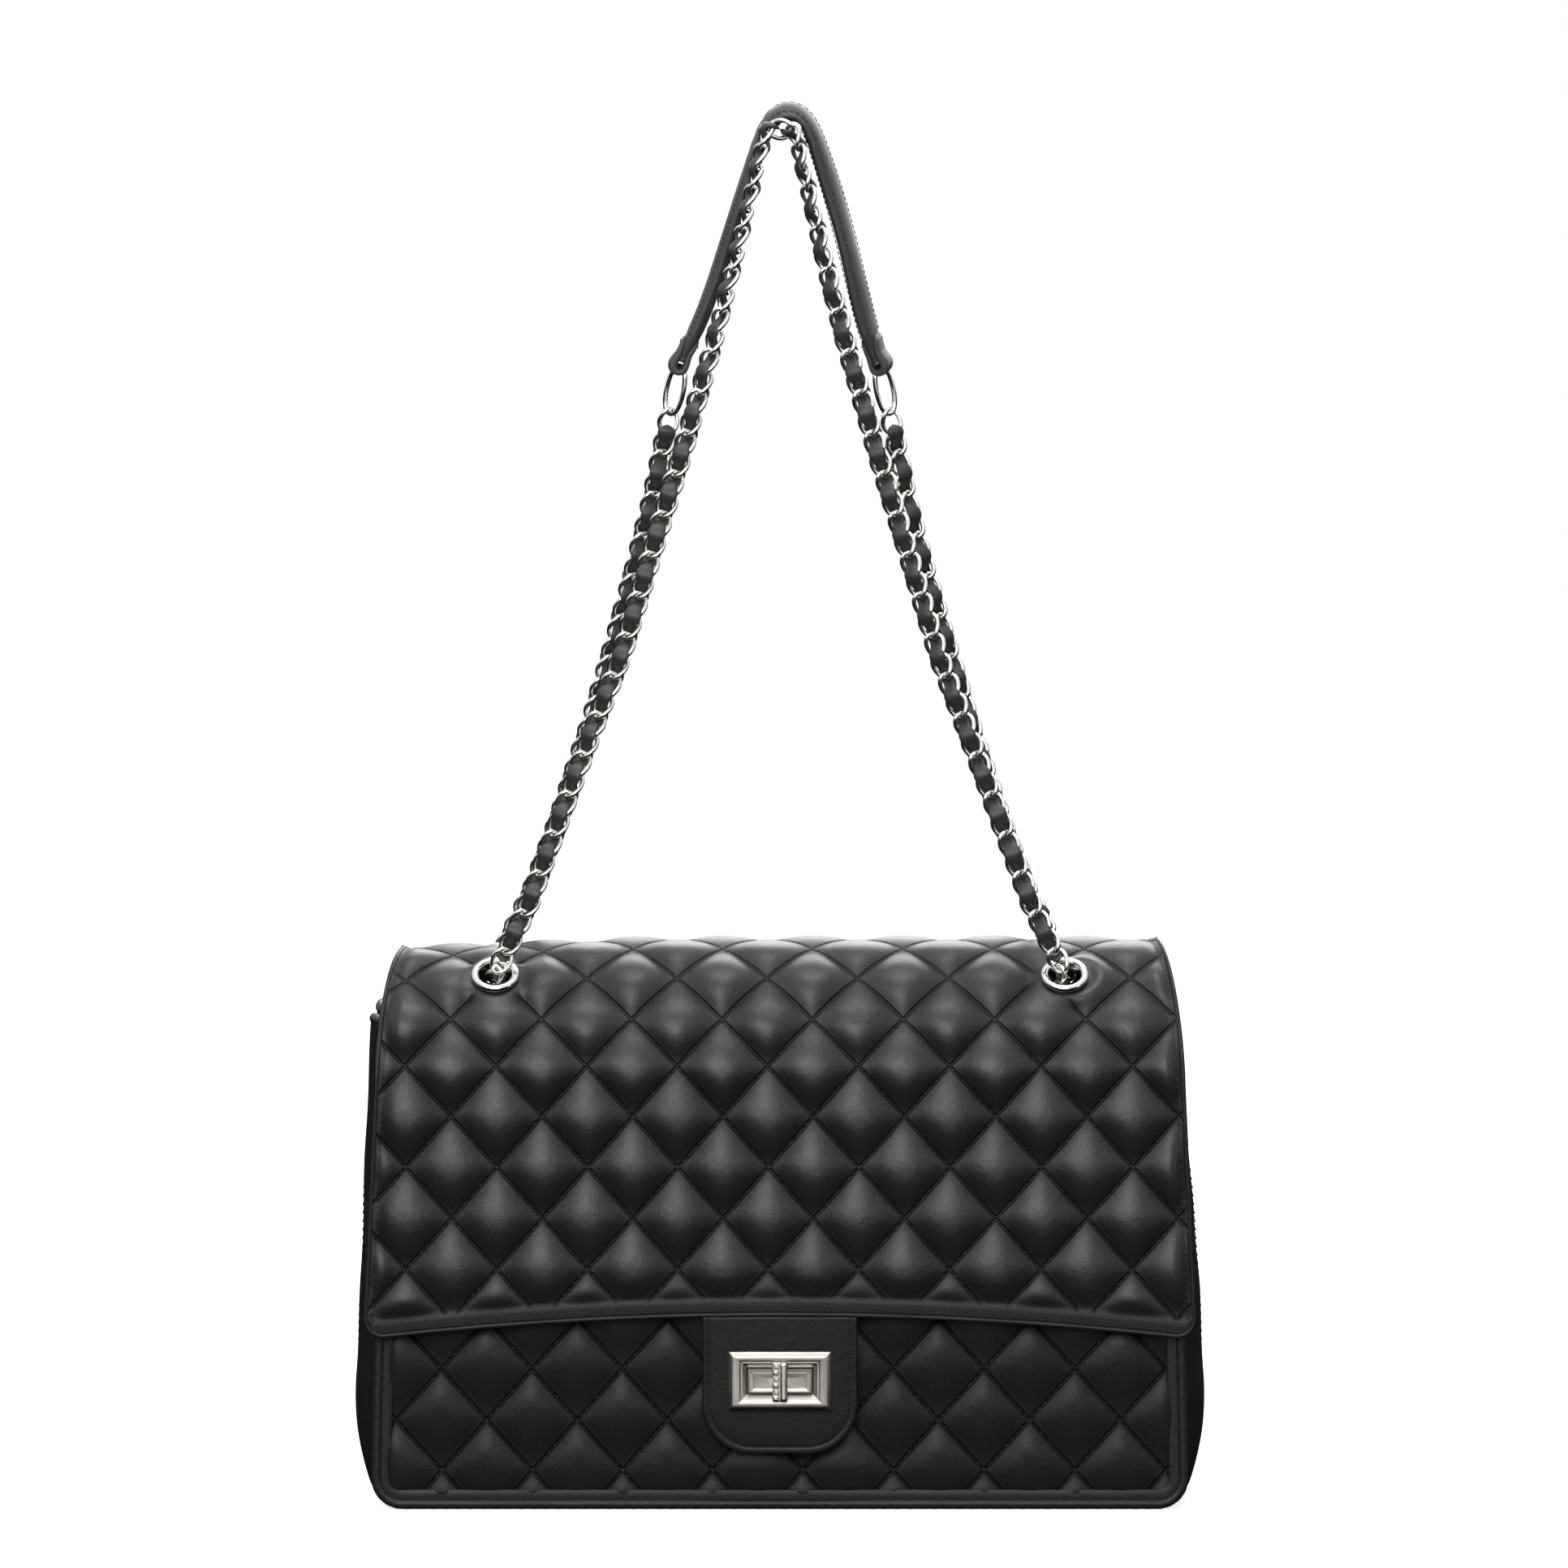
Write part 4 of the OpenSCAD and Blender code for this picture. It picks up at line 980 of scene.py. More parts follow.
# %% Base and piping
base_half = 170 * mm
bx, by = np.meshgrid(np.linspace(-1, 1, 90), np.linspace(-1, 1, 34))
base_at = bx * base_half, gusset_mid + by * gusset_half
swell = (1 - bx ** 8) * (1 - by ** 6)
base = piece("base_leather", [slab(np.stack([*base_at, 1.6 * mm - 1.5 * mm * swell], -1),
                                   np.stack([*base_at, 3.0 * mm + 0 * bx], -1))],
             [plain_lambskin], "bag")
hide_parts("base_panel")
row_x = np.linspace(-base_half + 6 * mm, base_half - 6 * mm, 90)
for name, y in (("base_thread_front", gusset_front + 6 * mm), ("base_thread_back", gusset_back - 6 * mm)):
    line = np.stack([row_x, y + 0 * row_x, 0.25 * mm + 0 * row_x], 1)
    down = np.repeat([[0.0, 0.0, -1.0]], len(line) - 1, 0)
    piece(name, [stitches(line[:-1], line[1:], down, radius=0.22 * mm)], [thread], "bag")

turn = np.linspace(0, math.pi / 2, 16)
cord_r = foot_r + 0.3 * mm + piping_r
cord_half, cord_low = panel_half - foot_r, piping_r + 0.4 * mm + cord_r
up = np.linspace(wall_h - 2 * mm, cord_low, 120)[:-1]
side_x = cord_half + cord_r - 4.2 * mm * np.clip((up - cord_low) / (wall_h - cord_low), 0, 1)
cord_x = np.concatenate([side_x, cord_half + cord_r * np.cos(turn)])
cord_z = np.concatenate([up, cord_low - cord_r * np.sin(turn)])
low_x = np.linspace(cord_half, -cord_half, 200)[1:-1]
low_z = low_x * 0 + cord_low - cord_r
cord_x = np.concatenate([cord_x, low_x, -cord_x[::-1]])
cord_z = np.concatenate([cord_z, low_z, cord_z[::-1]])
for name, y in (("front_piping", -front_r + piping_r), ("back_piping", flap_r - piping_r)):
    line = np.stack([cord_x, y + 0 * cord_x, cord_z], 1)
    along = unit(np.gradient(line, axis=0))
    across = np.cross(along, [0.0, 1.0, 0.0])
    pinch = 1 + 0.025 * np.sin(np.arange(len(line)) * 1.9)
    size = (piping_r * pinch * taper(len(line), 4))[:, None]
    flange_w = (3.4 * mm * taper(len(line), 4))[:, None]
    flange = sweep(line - 3.2 * mm * across, across * flange_w, np.array([[0.0, 0.2, 0.0]]) * flange_w)
    cord = piece(name + "_cord", [sweep(line, across * size, np.array([[0.0, 1.0, 0.0]]) * size, 14), flange],
                 [edge_lambskin], "bag")
    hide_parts(name)

# %% [markdown]
# ## Mouth, lining and pocket
#
# With the flap up one sees the rolled edge of the front panel, the twill lining with its leather
# facing, and a slip pocket on the back wall. The lining is a cup of cloth with soft upright folds.

# %% Mouth, lining and pocket
roll_x = np.linspace(-168 * mm, 168 * mm, 150)
solid_low, solid_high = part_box("mouth_binding")
roll_y, roll_z = (solid_low.y + solid_high.y) / 2, (solid_low.z + solid_high.z) / 2
line = np.stack([roll_x, roll_y + 0.25 * mm * np.sin(roll_x / (17 * mm)),
                 roll_z + 0.2 * mm * np.sin(roll_x / (11 * mm))], 1)
size = (2.3 * mm * taper(len(line), 4))[:, None]
mouth = piece("mouth_rolled_edge", [sweep(line, *wide_and_high(size), 14)],
              [edge_lambskin], "bag")
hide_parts("mouth_binding")

low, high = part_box("lining")
floor_turn = 6 * mm             # the cup's walls turn into its floor over this height
u = 2 * np.pi * np.arange(240) / 240
cup_x, cup_y = (np.sign(w) * np.abs(w) ** 0.16 for w in (np.cos(u), np.sin(u)))
heights = np.concatenate([np.linspace(high.z, low.z + floor_turn, 60),
                          low.z + floor_turn - 5 * mm * np.sin(np.linspace(0, math.pi / 2, 6))[1:]])


def cup_rings(drawn_in, floor):
    """Rings of the lining from its top to its floor."""
    rings = []
    for z in heights:
        near_floor = np.clip((low.z + floor_turn - z) / floor_turn, 0, 1)
        pull = drawn_in + 2.5 * mm * near_floor
        wave = 0.45 * mm * np.sin(u * 23 + z / (40 * mm)) * np.clip((high.z - z) / (25 * mm), 0, 1)
        half = (high.y - low.y) / 2 - pull + (wave if drawn_in else 0) - 0.5 * mm
        y = (low.y + high.y) / 2 + half * cup_y
        depth = (y - gusset_mid) / gusset_half
        room = [gusset_point(depth, z, 3.9 * mm + drawn_in, tuck)[:, 0] for tuck in (0.0, right_tuck)]
        x = np.clip((high.x - pull) * cup_x, -room[0], room[1])
        rings.append(np.stack([x, y, np.maximum(z, floor) + 0 * u], 1))
    return rings


outer_rings, inner_rings = cup_rings(0.0, low.z + 0.3 * mm), cup_rings(1.4 * mm, low.z + 1.7 * mm)
lining = piece("twill_lining", [capped(np.array(outer_rings[::-1] + inner_rings))],
               [twill, lining_leather], "bag")
for face in lining.data.polygons:
    if face.center.z > high.z - 20 * mm:
        face.material_index = 1
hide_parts("lining")

low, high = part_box("slip_pocket")
px, pz = np.meshgrid(np.linspace(-1, 1, 60), np.linspace(0, 1, 36))
belly = (1 - px ** 6) * (1 - (2 * pz - 1) ** 6 * (pz < 0.5))
room_y = high.y - low.y - 1.5 * mm
pocket_x = px * high.x
pocket_z = low.z + pz * (high.z - low.z)
face_y = high.y - 1.5 * mm - room_y * belly * (0.75 + 0.2 * pz)
pocket = piece("slip_pocket_cloth", [slab(np.stack([pocket_x, face_y, pocket_z], -1),
                                          np.stack([pocket_x, face_y + 1.0 * mm, pocket_z], -1))],
               [twill], "bag")
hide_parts("slip_pocket")
welt_x = np.linspace(-1, 1, 60)
welt_y = high.y - 1.0 * mm - room_y * (1 - welt_x ** 6) * 0.95
welt = np.stack([welt_x * high.x, welt_y, high.z + 0 * welt_x], 1)
across, up = wide_and_high((1.5 * mm * taper(len(welt), 3))[:, None])
piece("slip_pocket_welt", [sweep(welt, across * 0.8, up * 1.6)],
      [edge_lambskin], "bag")

# %% [markdown]
# ## The tab
#
# A stiff leather tab hangs from under the flap's edge and carries the lock's frame. Its edge is
# turned, so a rounded rim runs round it with a fine groove inside, and a row of stitches sits in it.

# %% The tab
tab_low, tab_top, tab_half, tab_round = 26 * mm, 90 * mm, 34 * mm, 22 * mm
tab_face_y, tab_back_y = -56.6 * mm, -53.7 * mm
hole_x, hole_z = 14.6 * mm, 6.0 * mm
row_in = 2.9 * mm               # the stitches and their groove lie this far inside the edge
row_top = 85 * mm               # above this they are under the flap's edge


def tab_width(z):
    foot = np.clip(tab_round - (z - tab_low), 0, tab_round)
    return tab_half - tab_round + np.sqrt(tab_round ** 2 - foot ** 2)


t = spread(2.0, 0.045, 0.16, 0.012) - 1
t = np.unique(np.concatenate([t, [-hole_x / tab_half, hole_x / tab_half]]))
z = spread(tab_top - tab_low, 1.2 * mm, 6 * mm, 0.35 * mm) + tab_low
z = np.unique(np.concatenate([z, [lock_z - hole_z, lock_z + hole_z]]))
z = np.repeat(z[:, None], len(t), 1)
half = tab_width(z)
x = t[None, :] * half
slope_d = np.hypot(np.abs(x) - (tab_half - tab_round), tab_low + tab_round - z)
in_corner = (np.abs(x) > tab_half - tab_round) & (z < tab_low + tab_round)
edge_d = np.where(in_corner, tab_round - slope_d, np.minimum(tab_half - np.abs(x), z - tab_low))
edge_d = np.maximum(edge_d, 0)
groove = 0.25 * mm * np.exp(-((edge_d - row_in) / (0.5 * mm)) ** 2)
rim = 0.12 * mm * np.exp(-((edge_d - 1.4 * mm) / (1.1 * mm)) ** 2) - groove
dome = 0.35 * mm * rounded_step(edge_d - 3 * mm, 9 * mm)
under_hem = 2.8 * mm * soft_step(z - 85.9 * mm, 2.2 * mm)
face_y = tab_face_y - rim - dome + edge_round(edge_d, 0.7 * mm) + under_hem
back_y = tab_back_y - edge_round(edge_d, 0.9 * mm) + 0.3 * under_hem
middle_t, middle_z = (t[:-1] + t[1:]) / 2 * tab_half, (z[:-1, 0] + z[1:, 0]) / 2
keep = ~((np.abs(middle_t)[None, :] < hole_x) & (np.abs(middle_z - lock_z)[:, None] < hole_z))
tab = piece("lock_tab_leather", [slab(np.stack([x, face_y, z], -1), np.stack([x, back_y, z], -1), keep)],
            [plain_lambskin], "flap")
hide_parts("lock_tab")

turn = np.linspace(0, math.pi / 2, 40)
arc_r = tab_round - row_in
right_x = np.concatenate([np.full(60, tab_half - row_in), tab_half - tab_round + arc_r * np.cos(turn)])
right_z = np.concatenate([np.linspace(row_top, tab_low + tab_round, 60),
                          tab_low + tab_round - arc_r * np.sin(turn)])
row_x = np.concatenate([right_x, -right_x[::-1]])
row_z = np.concatenate([right_z, right_z[::-1]])
stitch_row(row_x, row_z, -tab_face_y - 0.25 * mm + 0 * row_x, 2.9 * mm, "tab_thread", "flap", 0.24 * mm)

# %% [markdown]
# ## The turn lock
#
# The lock is cast zinc, nickel plated and brushed: a bevelled frame on the tab, a boss on the bag
# that stands in the frame's opening, and a bar on a spindle that turns across it. Metal shows its
# form by its edges, so each face meets the next over a narrow bevel that catches the light.

# %% The turn lock
# Half width, half height and depth of each ring of a casting, in mm.
frame_steps = [(22.5, 12.8, 56.7), (22.5, 12.8, 57.9), (22.3, 12.6, 58.2), (20.9, 11.2, 59.5),
               (20.6, 10.9, 59.6), (17.9, 9.2, 59.6), (17.6, 8.9, 59.5), (17.3, 8.7, 58.7),
               (17.1, 8.5, 58.6), (16.5, 7.9, 58.6), (14.9, 6.3, 57.6), (14.6, 6.0, 57.4),
               (14.6, 6.0, 56.7)]
plate_steps = [(13.6, 5.0, 58.9), (13.6, 5.0, 59.15), (13.3, 4.7, 59.35), (11.6, 3.4, 59.35),
               (11.3, 3.1, 59.2), (4.4, 1.2, 59.2)]
spindle_steps = [(0.1, -3.0), (2.0, -3.0), (2.0, 0.0), (2.9, 0.0), (2.9, 0.9), (0.1, 0.9)]
frame_back = 56.7
plate_lean = math.tan(math.radians(5))     # the faces lean back as the soft tab does


def nested(steps, corner_r=0.4, top=0.0):
    """Rings of 16 points round rectangles with rounded corners, about the lock's centre."""
    rings = []
    for w, h, depth in steps:
        leaning = min(1, max(0, depth - frame_back)) * plate_lean
        ring = []
        for cx, cz, a0 in ((w, h, 0), (-w, h, 90), (-w, -h, 180), (w, -h, 270)):
            for a in np.radians(a0 + np.array([0, 30, 60, 90])):
                ring.append([(cx - math.copysign(corner_r, cx)) + corner_r * math.cos(a),
                             -depth + leaning * (top + cz),
                             (cz - math.copysign(corner_r, cz)) + corner_r * math.sin(a)])
        rings.append(ring)
    return np.array(rings) * mm + [0, 0, lock_z]


frame_faces = ring_faces(len(frame_steps), 16, loop=True)
lock_frame = piece("lock_frame_bevelled", [outward(nested(frame_steps).reshape(-1, 3), frame_faces)],
                   [brushed_nickel], "flap", sharp=22)
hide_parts("lock_frame")
piece("boss_face_plate", [capped(nested(plate_steps, 0.3))], [brushed_nickel], "bag", sharp=22)


def bar_part(x0, x1, z0, z1, y0, y1, round_r):
    """A small bevelled block of the bar, in mm about the lock's centre."""
    cx, cz, w, h = (x0 + x1) / 2, (z0 + z1) / 2, (x1 - x0) / 2, (z1 - z0) / 2
    steps = [(w, h, y0), (w, h, y1 - round_r)]
    for a in np.radians([30, 60, 90]):
        narrower = round_r * (1 - math.cos(a))
        steps.append((w - narrower, h - narrower, y1 - round_r + round_r * math.sin(a)))
    return capped(nested(steps, min(w, h, 0.5) * 0.9, cz) + np.array([cx, 0, cz]) * mm)


bar_parts = [bar_part(-3.2, 3.3, -8.5, 8.5, 59.95, 60.9, 0.3), bar_part(0.1, 3.2, -8.4, 8.4, 60.7, 62.5, 1.0)]
for z0 in (-8.2, -2.6, 3.0):
    bar_parts.append(bar_part(-3.0, -0.5, z0, z0 + 2.3, 60.7, 62.1, 0.6))
    bar_parts.append(bar_part(-2.5, -0.4, z0 + 2.6, z0 + 4.9, 60.7, 61.5, 0.4))
bar_parts.append(lathe(np.array(spindle_steps) * mm, (0, -59.0 * mm, lock_z), (0, -1.0, 0), 32))
turn_bar = piece("turn_bar_ribbed", bar_parts, [brushed_nickel], "turn_bar", sharp=35)
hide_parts("turn_bar")

# %% [markdown]
# ## Eyelets
#
# Four two-part eyelets of polished nickel. The rolled rim is pressed into the leather, and the
# barrel goes down through both layers to a washer on the inside.

# %% Eyelets
rim_mid, rim_tube, bore = 8.8 * mm, 1.7 * mm, 6.75 * mm
barrel, barrel_r = 7.2 * mm, bore + 0.9 * mm
turn = np.linspace(-0.35 * math.pi, 1.02 * math.pi, 16)
rim = [(rim_mid + rim_tube * math.cos(a), 1.6 * mm + rim_tube * math.sin(a)) for a in turn]
profile = [(barrel_r, -barrel), (barrel_r, -0.2 * mm), *rim,
           (bore + 0.25 * mm, 1.2 * mm), (bore, 0.6 * mm), (bore, -barrel)]
for side, name in ((-1, "front_eyelets"), (1, "rear_eyelets")):
    axis = np.array([0, side * math.cos(eyelet_angle), math.sin(eyelet_angle)])
    seats = [np.array([sx * eyelet_x, 0, wall_h]) + axis * (flap_r + 0.1 * mm) for sx in (-1, 1)]
    parts = [lathe(profile, seat, axis) for seat in seats]
    eyelets = piece(name + "_rolled", parts, [polished_nickel], "flap", sharp=40)
    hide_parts(name)

# %% [markdown]
# ## The chain
#
# The strap is a curb chain: oval links of 2 mm wire, each twisted a quarter turn about its length, so
# that the ends of neighbours cross squarely while the whole chain lies flat. The links hang exactly
# on the CAD's routes, one pitch apart, and each arch keeps its own plane and body.

# %% The chain's links and routes
wire_d, link_l, link_w = 2 * mm, 13.6 * mm, 10 * mm
pitch = link_l - 2 * wire_d - 0.3 * mm
pivot_out = (link_l - wire_d) / 2
pivot_in = pitch - pivot_out
hinge_slack = 0.2 * mm
hinge_r = flap_r + 6 * mm
hinge_y, hinge_z = hinge_r * math.cos(eyelet_angle), wall_h + hinge_r * math.sin(eyelet_angle)
strand_rise = 368 * mm
apex_lean = math.radians(16)


def route(shares):
    """A path in an arch's plane, from shares of the distance across and of the rise."""
    return np.array(shares) * [chain_x, strand_rise]


next_x = pivot_out + 2 * pivot_in * math.sin(apex_lean)
next_z = strand_rise - 2 * pivot_in * math.cos(apex_lean)
top_links = [[0, strand_rise], [pivot_out, strand_rise], [next_x, next_z]]
front_path = np.concatenate([top_links, route([
    [0.088, 0.945], [0.162, 0.84], [0.238, 0.742], [0.298, 0.673], [0.347, 0.614], [0.433, 0.519],
    [0.565, 0.37], [0.668, 0.28], [0.806, 0.155], [0.892, 0.076], [1, 0]])])
rear_path = route([[0.394, 0.655], [0.46, 0.549], [0.52, 0.47], [0.604, 0.37], [0.682, 0.28],
                   [0.802, 0.157], [0.892, 0.076], [1, 0]])
under_turn = np.radians(np.linspace(218, 322, 13))
under_arc = np.stack([33.71 * mm * np.cos(under_turn), (54.76 + 33.71 * np.sin(under_turn)) * mm], 1)
under_path = np.concatenate([[[-hinge_y, hinge_z - wall_h]], under_arc, [[hinge_y, hinge_z - wall_h]]])


def plane_frame(origin, tilt):
    """An arch's plane: where it is hinged, its directions across and up, and towards the viewer."""
    across, up = np.array([1.0, 0, 0]), np.array([0, math.sin(tilt), math.cos(tilt)])
    return np.array(origin), across, up, np.cross(across, up)


front_plane = plane_frame((0, -hinge_y, hinge_z), math.atan2(hinge_y - 5.3 * mm, strand_rise))
rear_plane = plane_frame((0, hinge_y, hinge_z), -math.atan2(hinge_y - 11.3 * mm, strand_rise))


def on_path(plane, path, s, roll, mirrored=1, near=1.5 * mm):
    """Places on a path with the directions along it, across the chain and out of its flat side."""
    origin, across, up, out = plane
    at, before, after = (path_at(path, s + d) for d in (0, -near, near))
    run = unit(after - before)
    place = origin + mirrored * at[:, :1] * across + at[:, 1:] * up
    along = mirrored * run[:, :1] * across + run[:, 1:] * up
    side = np.cross(out, along)
    turn = np.asarray(roll)[:, None]
    return place, along, side * np.cos(turn) + out * np.sin(turn), out * np.cos(turn) - side * np.sin(turn)


def wire_link(length, width, wire, twist, rings=28, sides=10):
    """One oval link about the origin, along Z, flat in XZ, twisted about Z."""
    u = 2 * np.pi * np.arange(rings) / rings
    x = (width - wire) / 2 * np.sign(np.sin(u)) * np.abs(np.sin(u)) ** 0.85
    z = (length - wire) / 2 * np.cos(u)
    angle = twist * z / (length - wire)
    line = np.stack([x * np.cos(angle), x * np.sin(angle), z], 1)
    t = unit(np.roll(line, -1, 0) - np.roll(line, 1, 0))
    flat = np.stack([-np.sin(angle), np.cos(angle), 0 * angle], 1)
    a = unit(flat - (flat * t).sum(1, keepdims=True) * t)
    return sweep(line, a * wire / 2, np.cross(t, a) * wire / 2, sides, loop=True)


def links(place, along, side, out, twist=math.radians(84)):
    """Copies of the link at each place."""
    points, faces = wire_link(link_l, link_w, wire_d, twist)
    x, y, z = (points[None, :, k:k + 1] for k in range(3))
    spots = place[:, None] + x * side[:, None] + y * out[:, None] + z * along[:, None]
    faces = [[i + k * len(points) for i in face] for k in range(len(place)) for face in faces]
    return spots.reshape(-1, 3), faces


front_l, rear_l, under_l = (path_run(path)[-1] for path in (front_path, rear_path, under_path))
front_count = 2 * round((front_l - pivot_in) / (2 * pitch))
front_pitch = (front_l - pivot_in + hinge_slack) / front_count
rear_count = 2 * round((rear_l - 2 * pivot_in) / (2 * pitch))
rear_pitch = (rear_l - 2 * pivot_in + hinge_slack) / rear_count
under_count = 2 * round((under_l - 2 * pivot_out) / (2 * pitch))
under_pitch = (under_l - 2 * pivot_out) / under_count
print("links:", front_count, rear_count, under_count)

# %% [markdown]
# The chain turns over towards the top, where it is pulled edge on by whatever holds the strap up, and
# a little in waves lower down. The same turn is used for the links and for the lace.

# %% Roll and chain pieces
def front_roll(s, mirrored):
    top = math.radians(62 if mirrored < 0 else 42) * np.exp(-(s / (95 * mm)) ** 2)
    return top + math.radians(11) * np.sin(s / (33 * mm) + mirrored) + math.radians(14)


def rear_roll(s, mirrored):
    return math.radians(13) * np.sin(s / (29 * mm) + 2 + mirrored) - math.radians(16)


def no_roll(s, mirrored):
    return 0 * s


s = np.arange(front_count + 1) * front_pitch
for mirrored, name, first in ((-1, "front_chain_left", 0), (1, "front_chain_right", 1)):
    spots = on_path(front_plane, front_path, s[first:], front_roll(s[first:], mirrored), mirrored)
    if first == 0:
        spots = [np.array(w) for w in spots]
        spots[0][0] = front_plane[0] + front_plane[2] * strand_rise
        spots[1][0] = -front_plane[1]
        spots[2][0], spots[3][0] = np.cross(front_plane[3], spots[1][0]), front_plane[3]
    obj = piece(name + "_curb", [links(*spots)], [tumbled_nickel], "front_strand")
    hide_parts(name)
s = pivot_in + np.arange(rear_count + 1) * rear_pitch
for mirrored, name in ((-1, "rear_chain_left"), (1, "rear_chain_right")):
    obj = piece(name + "_curb", [links(*on_path(rear_plane, rear_path, s, rear_roll(s, mirrored), mirrored))],
                [tumbled_nickel], "rear_strand")
    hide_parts(name)
under_planes = [(np.array([side * chain_x, 0, wall_h]), *np.array([[0, 1.0, 0], [0, 0, 1.0], [1.0, 0, 0]]))
                for side in (-1, 1)]
s = pivot_out + np.arange(under_count + 1) * under_pitch
spots = [on_path(plane, under_path, s, no_roll(s, 1)) for plane in under_planes]
obj = piece("under_flap_curb", [links(*w) for w in spots], [tumbled_nickel], "flap")
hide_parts("under_flap_chains")

# %% [markdown]
# ## The lace
#
# A strip of calf leather is woven through the chain, over one joint of the links and under the next.
# It is as wide as the links' openings let it be, and swells where it lies on top.

# %% The lace
lace_depth = 2.5 * mm           # how far the weaving takes it to each side of the links
lace_half, lace_swell, lace_half_t = 2.9 * mm, 1.25 * mm, 0.95 * mm


def lace(plane, path, start, end, first, gap, roll, mirrored=1):
    """The woven strip, between two distances along a path; first is one link's middle."""
    s = np.arange(start, end, 0.9 * mm)
    turn = roll(s, mirrored)
    place, along, side, out = on_path(plane, path, s, turn, mirrored, near=5 * mm)
    wave = np.sin(np.pi * (s - first) / gap)
    thin = 1 - 0.3 * np.clip(np.abs(turn) / math.radians(60), 0, 1)
    half = (lace_half + lace_swell * np.abs(wave) ** 1.5) * thin
    ends = taper(len(s), 3)
    drift = 0.25 * mm * np.sin(s / (17 * mm))
    centre = place + out * (lace_depth * wave)[:, None] + side * drift[:, None]
    slope = unit(np.gradient(centre, axis=0))
    face = unit(np.cross(slope, side))
    return sweep(centre, side * (half * ends)[:, None], face * (lace_half_t * ends)[:, None], 14, power=0.75)


lace_clear = 2.5 * mm           # the lace ends this far before an eyelet
laces = [lace(front_plane, front_path, 0.1 * mm, front_l - lace_clear, 0.0, front_pitch, front_roll, m)
         for m in (-1, 1)]
obj = piece("front_lace_woven", laces, [lace_leather], "front_strand")
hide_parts("front_lace")
laces = [lace(rear_plane, rear_path, 5 * mm, rear_l - lace_clear, pivot_in, rear_pitch, rear_roll, m)
         for m in (-1, 1)]
obj = piece("rear_laces_woven", laces, [lace_leather], "rear_strand")
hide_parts("rear_laces")
laces = [lace(plane, under_path, lace_clear, under_l - lace_clear, pivot_out, under_pitch, no_roll)
         for plane in under_planes]
obj = piece("under_flap_laces_woven", laces, [lace_leather], "flap")
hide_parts("under_flap_laces")

# %% [markdown]
# ## Shoulder pad, rings and end tabs
#
# Across the rear arch runs a padded leather strap. At each end a leather tab is folded round an oval
# ring of thicker wire and sewn into the pad, and the chain hangs from the ring. The pad is soft: it
# is full along its middle and thin at its sewn edges, and it wrinkles finely where it bends.

# %% Shoulder pad
pad_shift = 3.8 * mm            # the pad's middle hangs a little to the right
pad_sides = 36
core_in = 24                    # the felt ends this many rings before the leather
pad_half_path = route([[0, 1.023], [0.045, 1.018], [0.078, 1.002], [0.106, 0.977], [0.16, 0.922],
                       [0.208, 0.868], [0.252, 0.815], [0.295, 0.768], [0.343, 0.727]])
pad_points = np.concatenate([pad_half_path[:0:-1] * [-1, 1], pad_half_path])
even = path_at(pad_points, np.linspace(0, path_run(pad_points)[-1], 600))
window = np.hanning(61) / np.hanning(61).sum()
longer = np.concatenate([2 * even[:1] - even[30:0:-1], even, 2 * even[-1:] - even[-2:-32:-1]])
pad_path = np.stack([np.convolve(longer[:, k], window, "valid") for k in (0, 1)], 1)
pad_l = path_run(pad_path)[-1]
s = np.linspace(0, pad_l, 330)
share = 2 * s / pad_l - 1
roll = math.radians(6) + math.radians(7) * np.tanh(share / 0.3)
place, along, side, out = on_path(rear_plane, pad_path, s, roll, near=4 * mm)
place[:, 0] += pad_shift * (1 - np.abs(share) ** 3)
from_end = pad_l / 2 * (1 - np.abs(share))
half_w = 7.5 * mm + 4.0 * mm * soft_step(from_end, 13 * mm)
full_t = 1.9 * mm + 1.6 * mm * np.clip(from_end / (12 * mm), 0, 1) ** 0.6
u = 2 * np.pi * (np.arange(pad_sides) + 0.5) / pad_sides
across, thick = np.cos(u), np.sin(u)
profile = (0.34 + 0.66 * (1 - np.abs(across) ** 2.6) ** 0.7) * np.sign(thick) * np.abs(thick) ** 0.6
bend = np.exp(-(share / 0.2) ** 2)[:, None]
inner_side = thick[None, :] * side[:, :1] < 0
wrinkle = 0.22 * mm * bend * np.sin(s[:, None] / (1.15 * mm) + 2 * across[None, :]) * inner_side
wave = 0.25 * mm * np.sin(s / (9 * mm))[:, None] * across[None, :]


def pad_body(name, shrink, first, last, material):
    """The pad's outside, or its core drawn in by a share of the size."""
    wide = half_w[:, None] * shrink * across[None, :]
    high = full_t[:, None] * shrink * profile[None, :] + (wave + wrinkle) * (shrink == 1)
    rings = place[:, None] + out[:, None] * wide[..., None] + side[:, None] * high[..., None]
    return piece(name, [capped(rings[first:last])], [material], "rear_strand")


pad = pad_body("shoulder_pad_leather", 1, 0, len(s), pad_leather)
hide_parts("shoulder_pad_cover")
pad_core = pad_body("shoulder_pad_felt", 0.72, core_in, len(s) - core_in, felt)
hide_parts("shoulder_pad_core")

rows = []
for edge in (-1, 1):
    at = np.arange(9 * mm, pad_l - 9 * mm, 2.6 * mm)
    base_at, _, side_at, out_at = on_path(rear_plane, pad_path, at, np.interp(at, s, roll), near=4 * mm)
    base_at[:, 0] += pad_shift * (1 - np.abs(2 * at / pad_l - 1) ** 3)
    w, t = np.interp(at, s, half_w), np.interp(at, s, full_t)
    for face in (-1, 1):
        line = base_at + out_at * edge * (0.84 * w)[:, None]
        line = line + side_at * face * (0.66 * t + 0.05 * mm)[:, None]
        rows.append(stitches(line[:-1], line[1:], face * side_at[:-1], radius=0.24 * mm))
piece("shoulder_pad_thread", rows, [thread], "rear_strand")

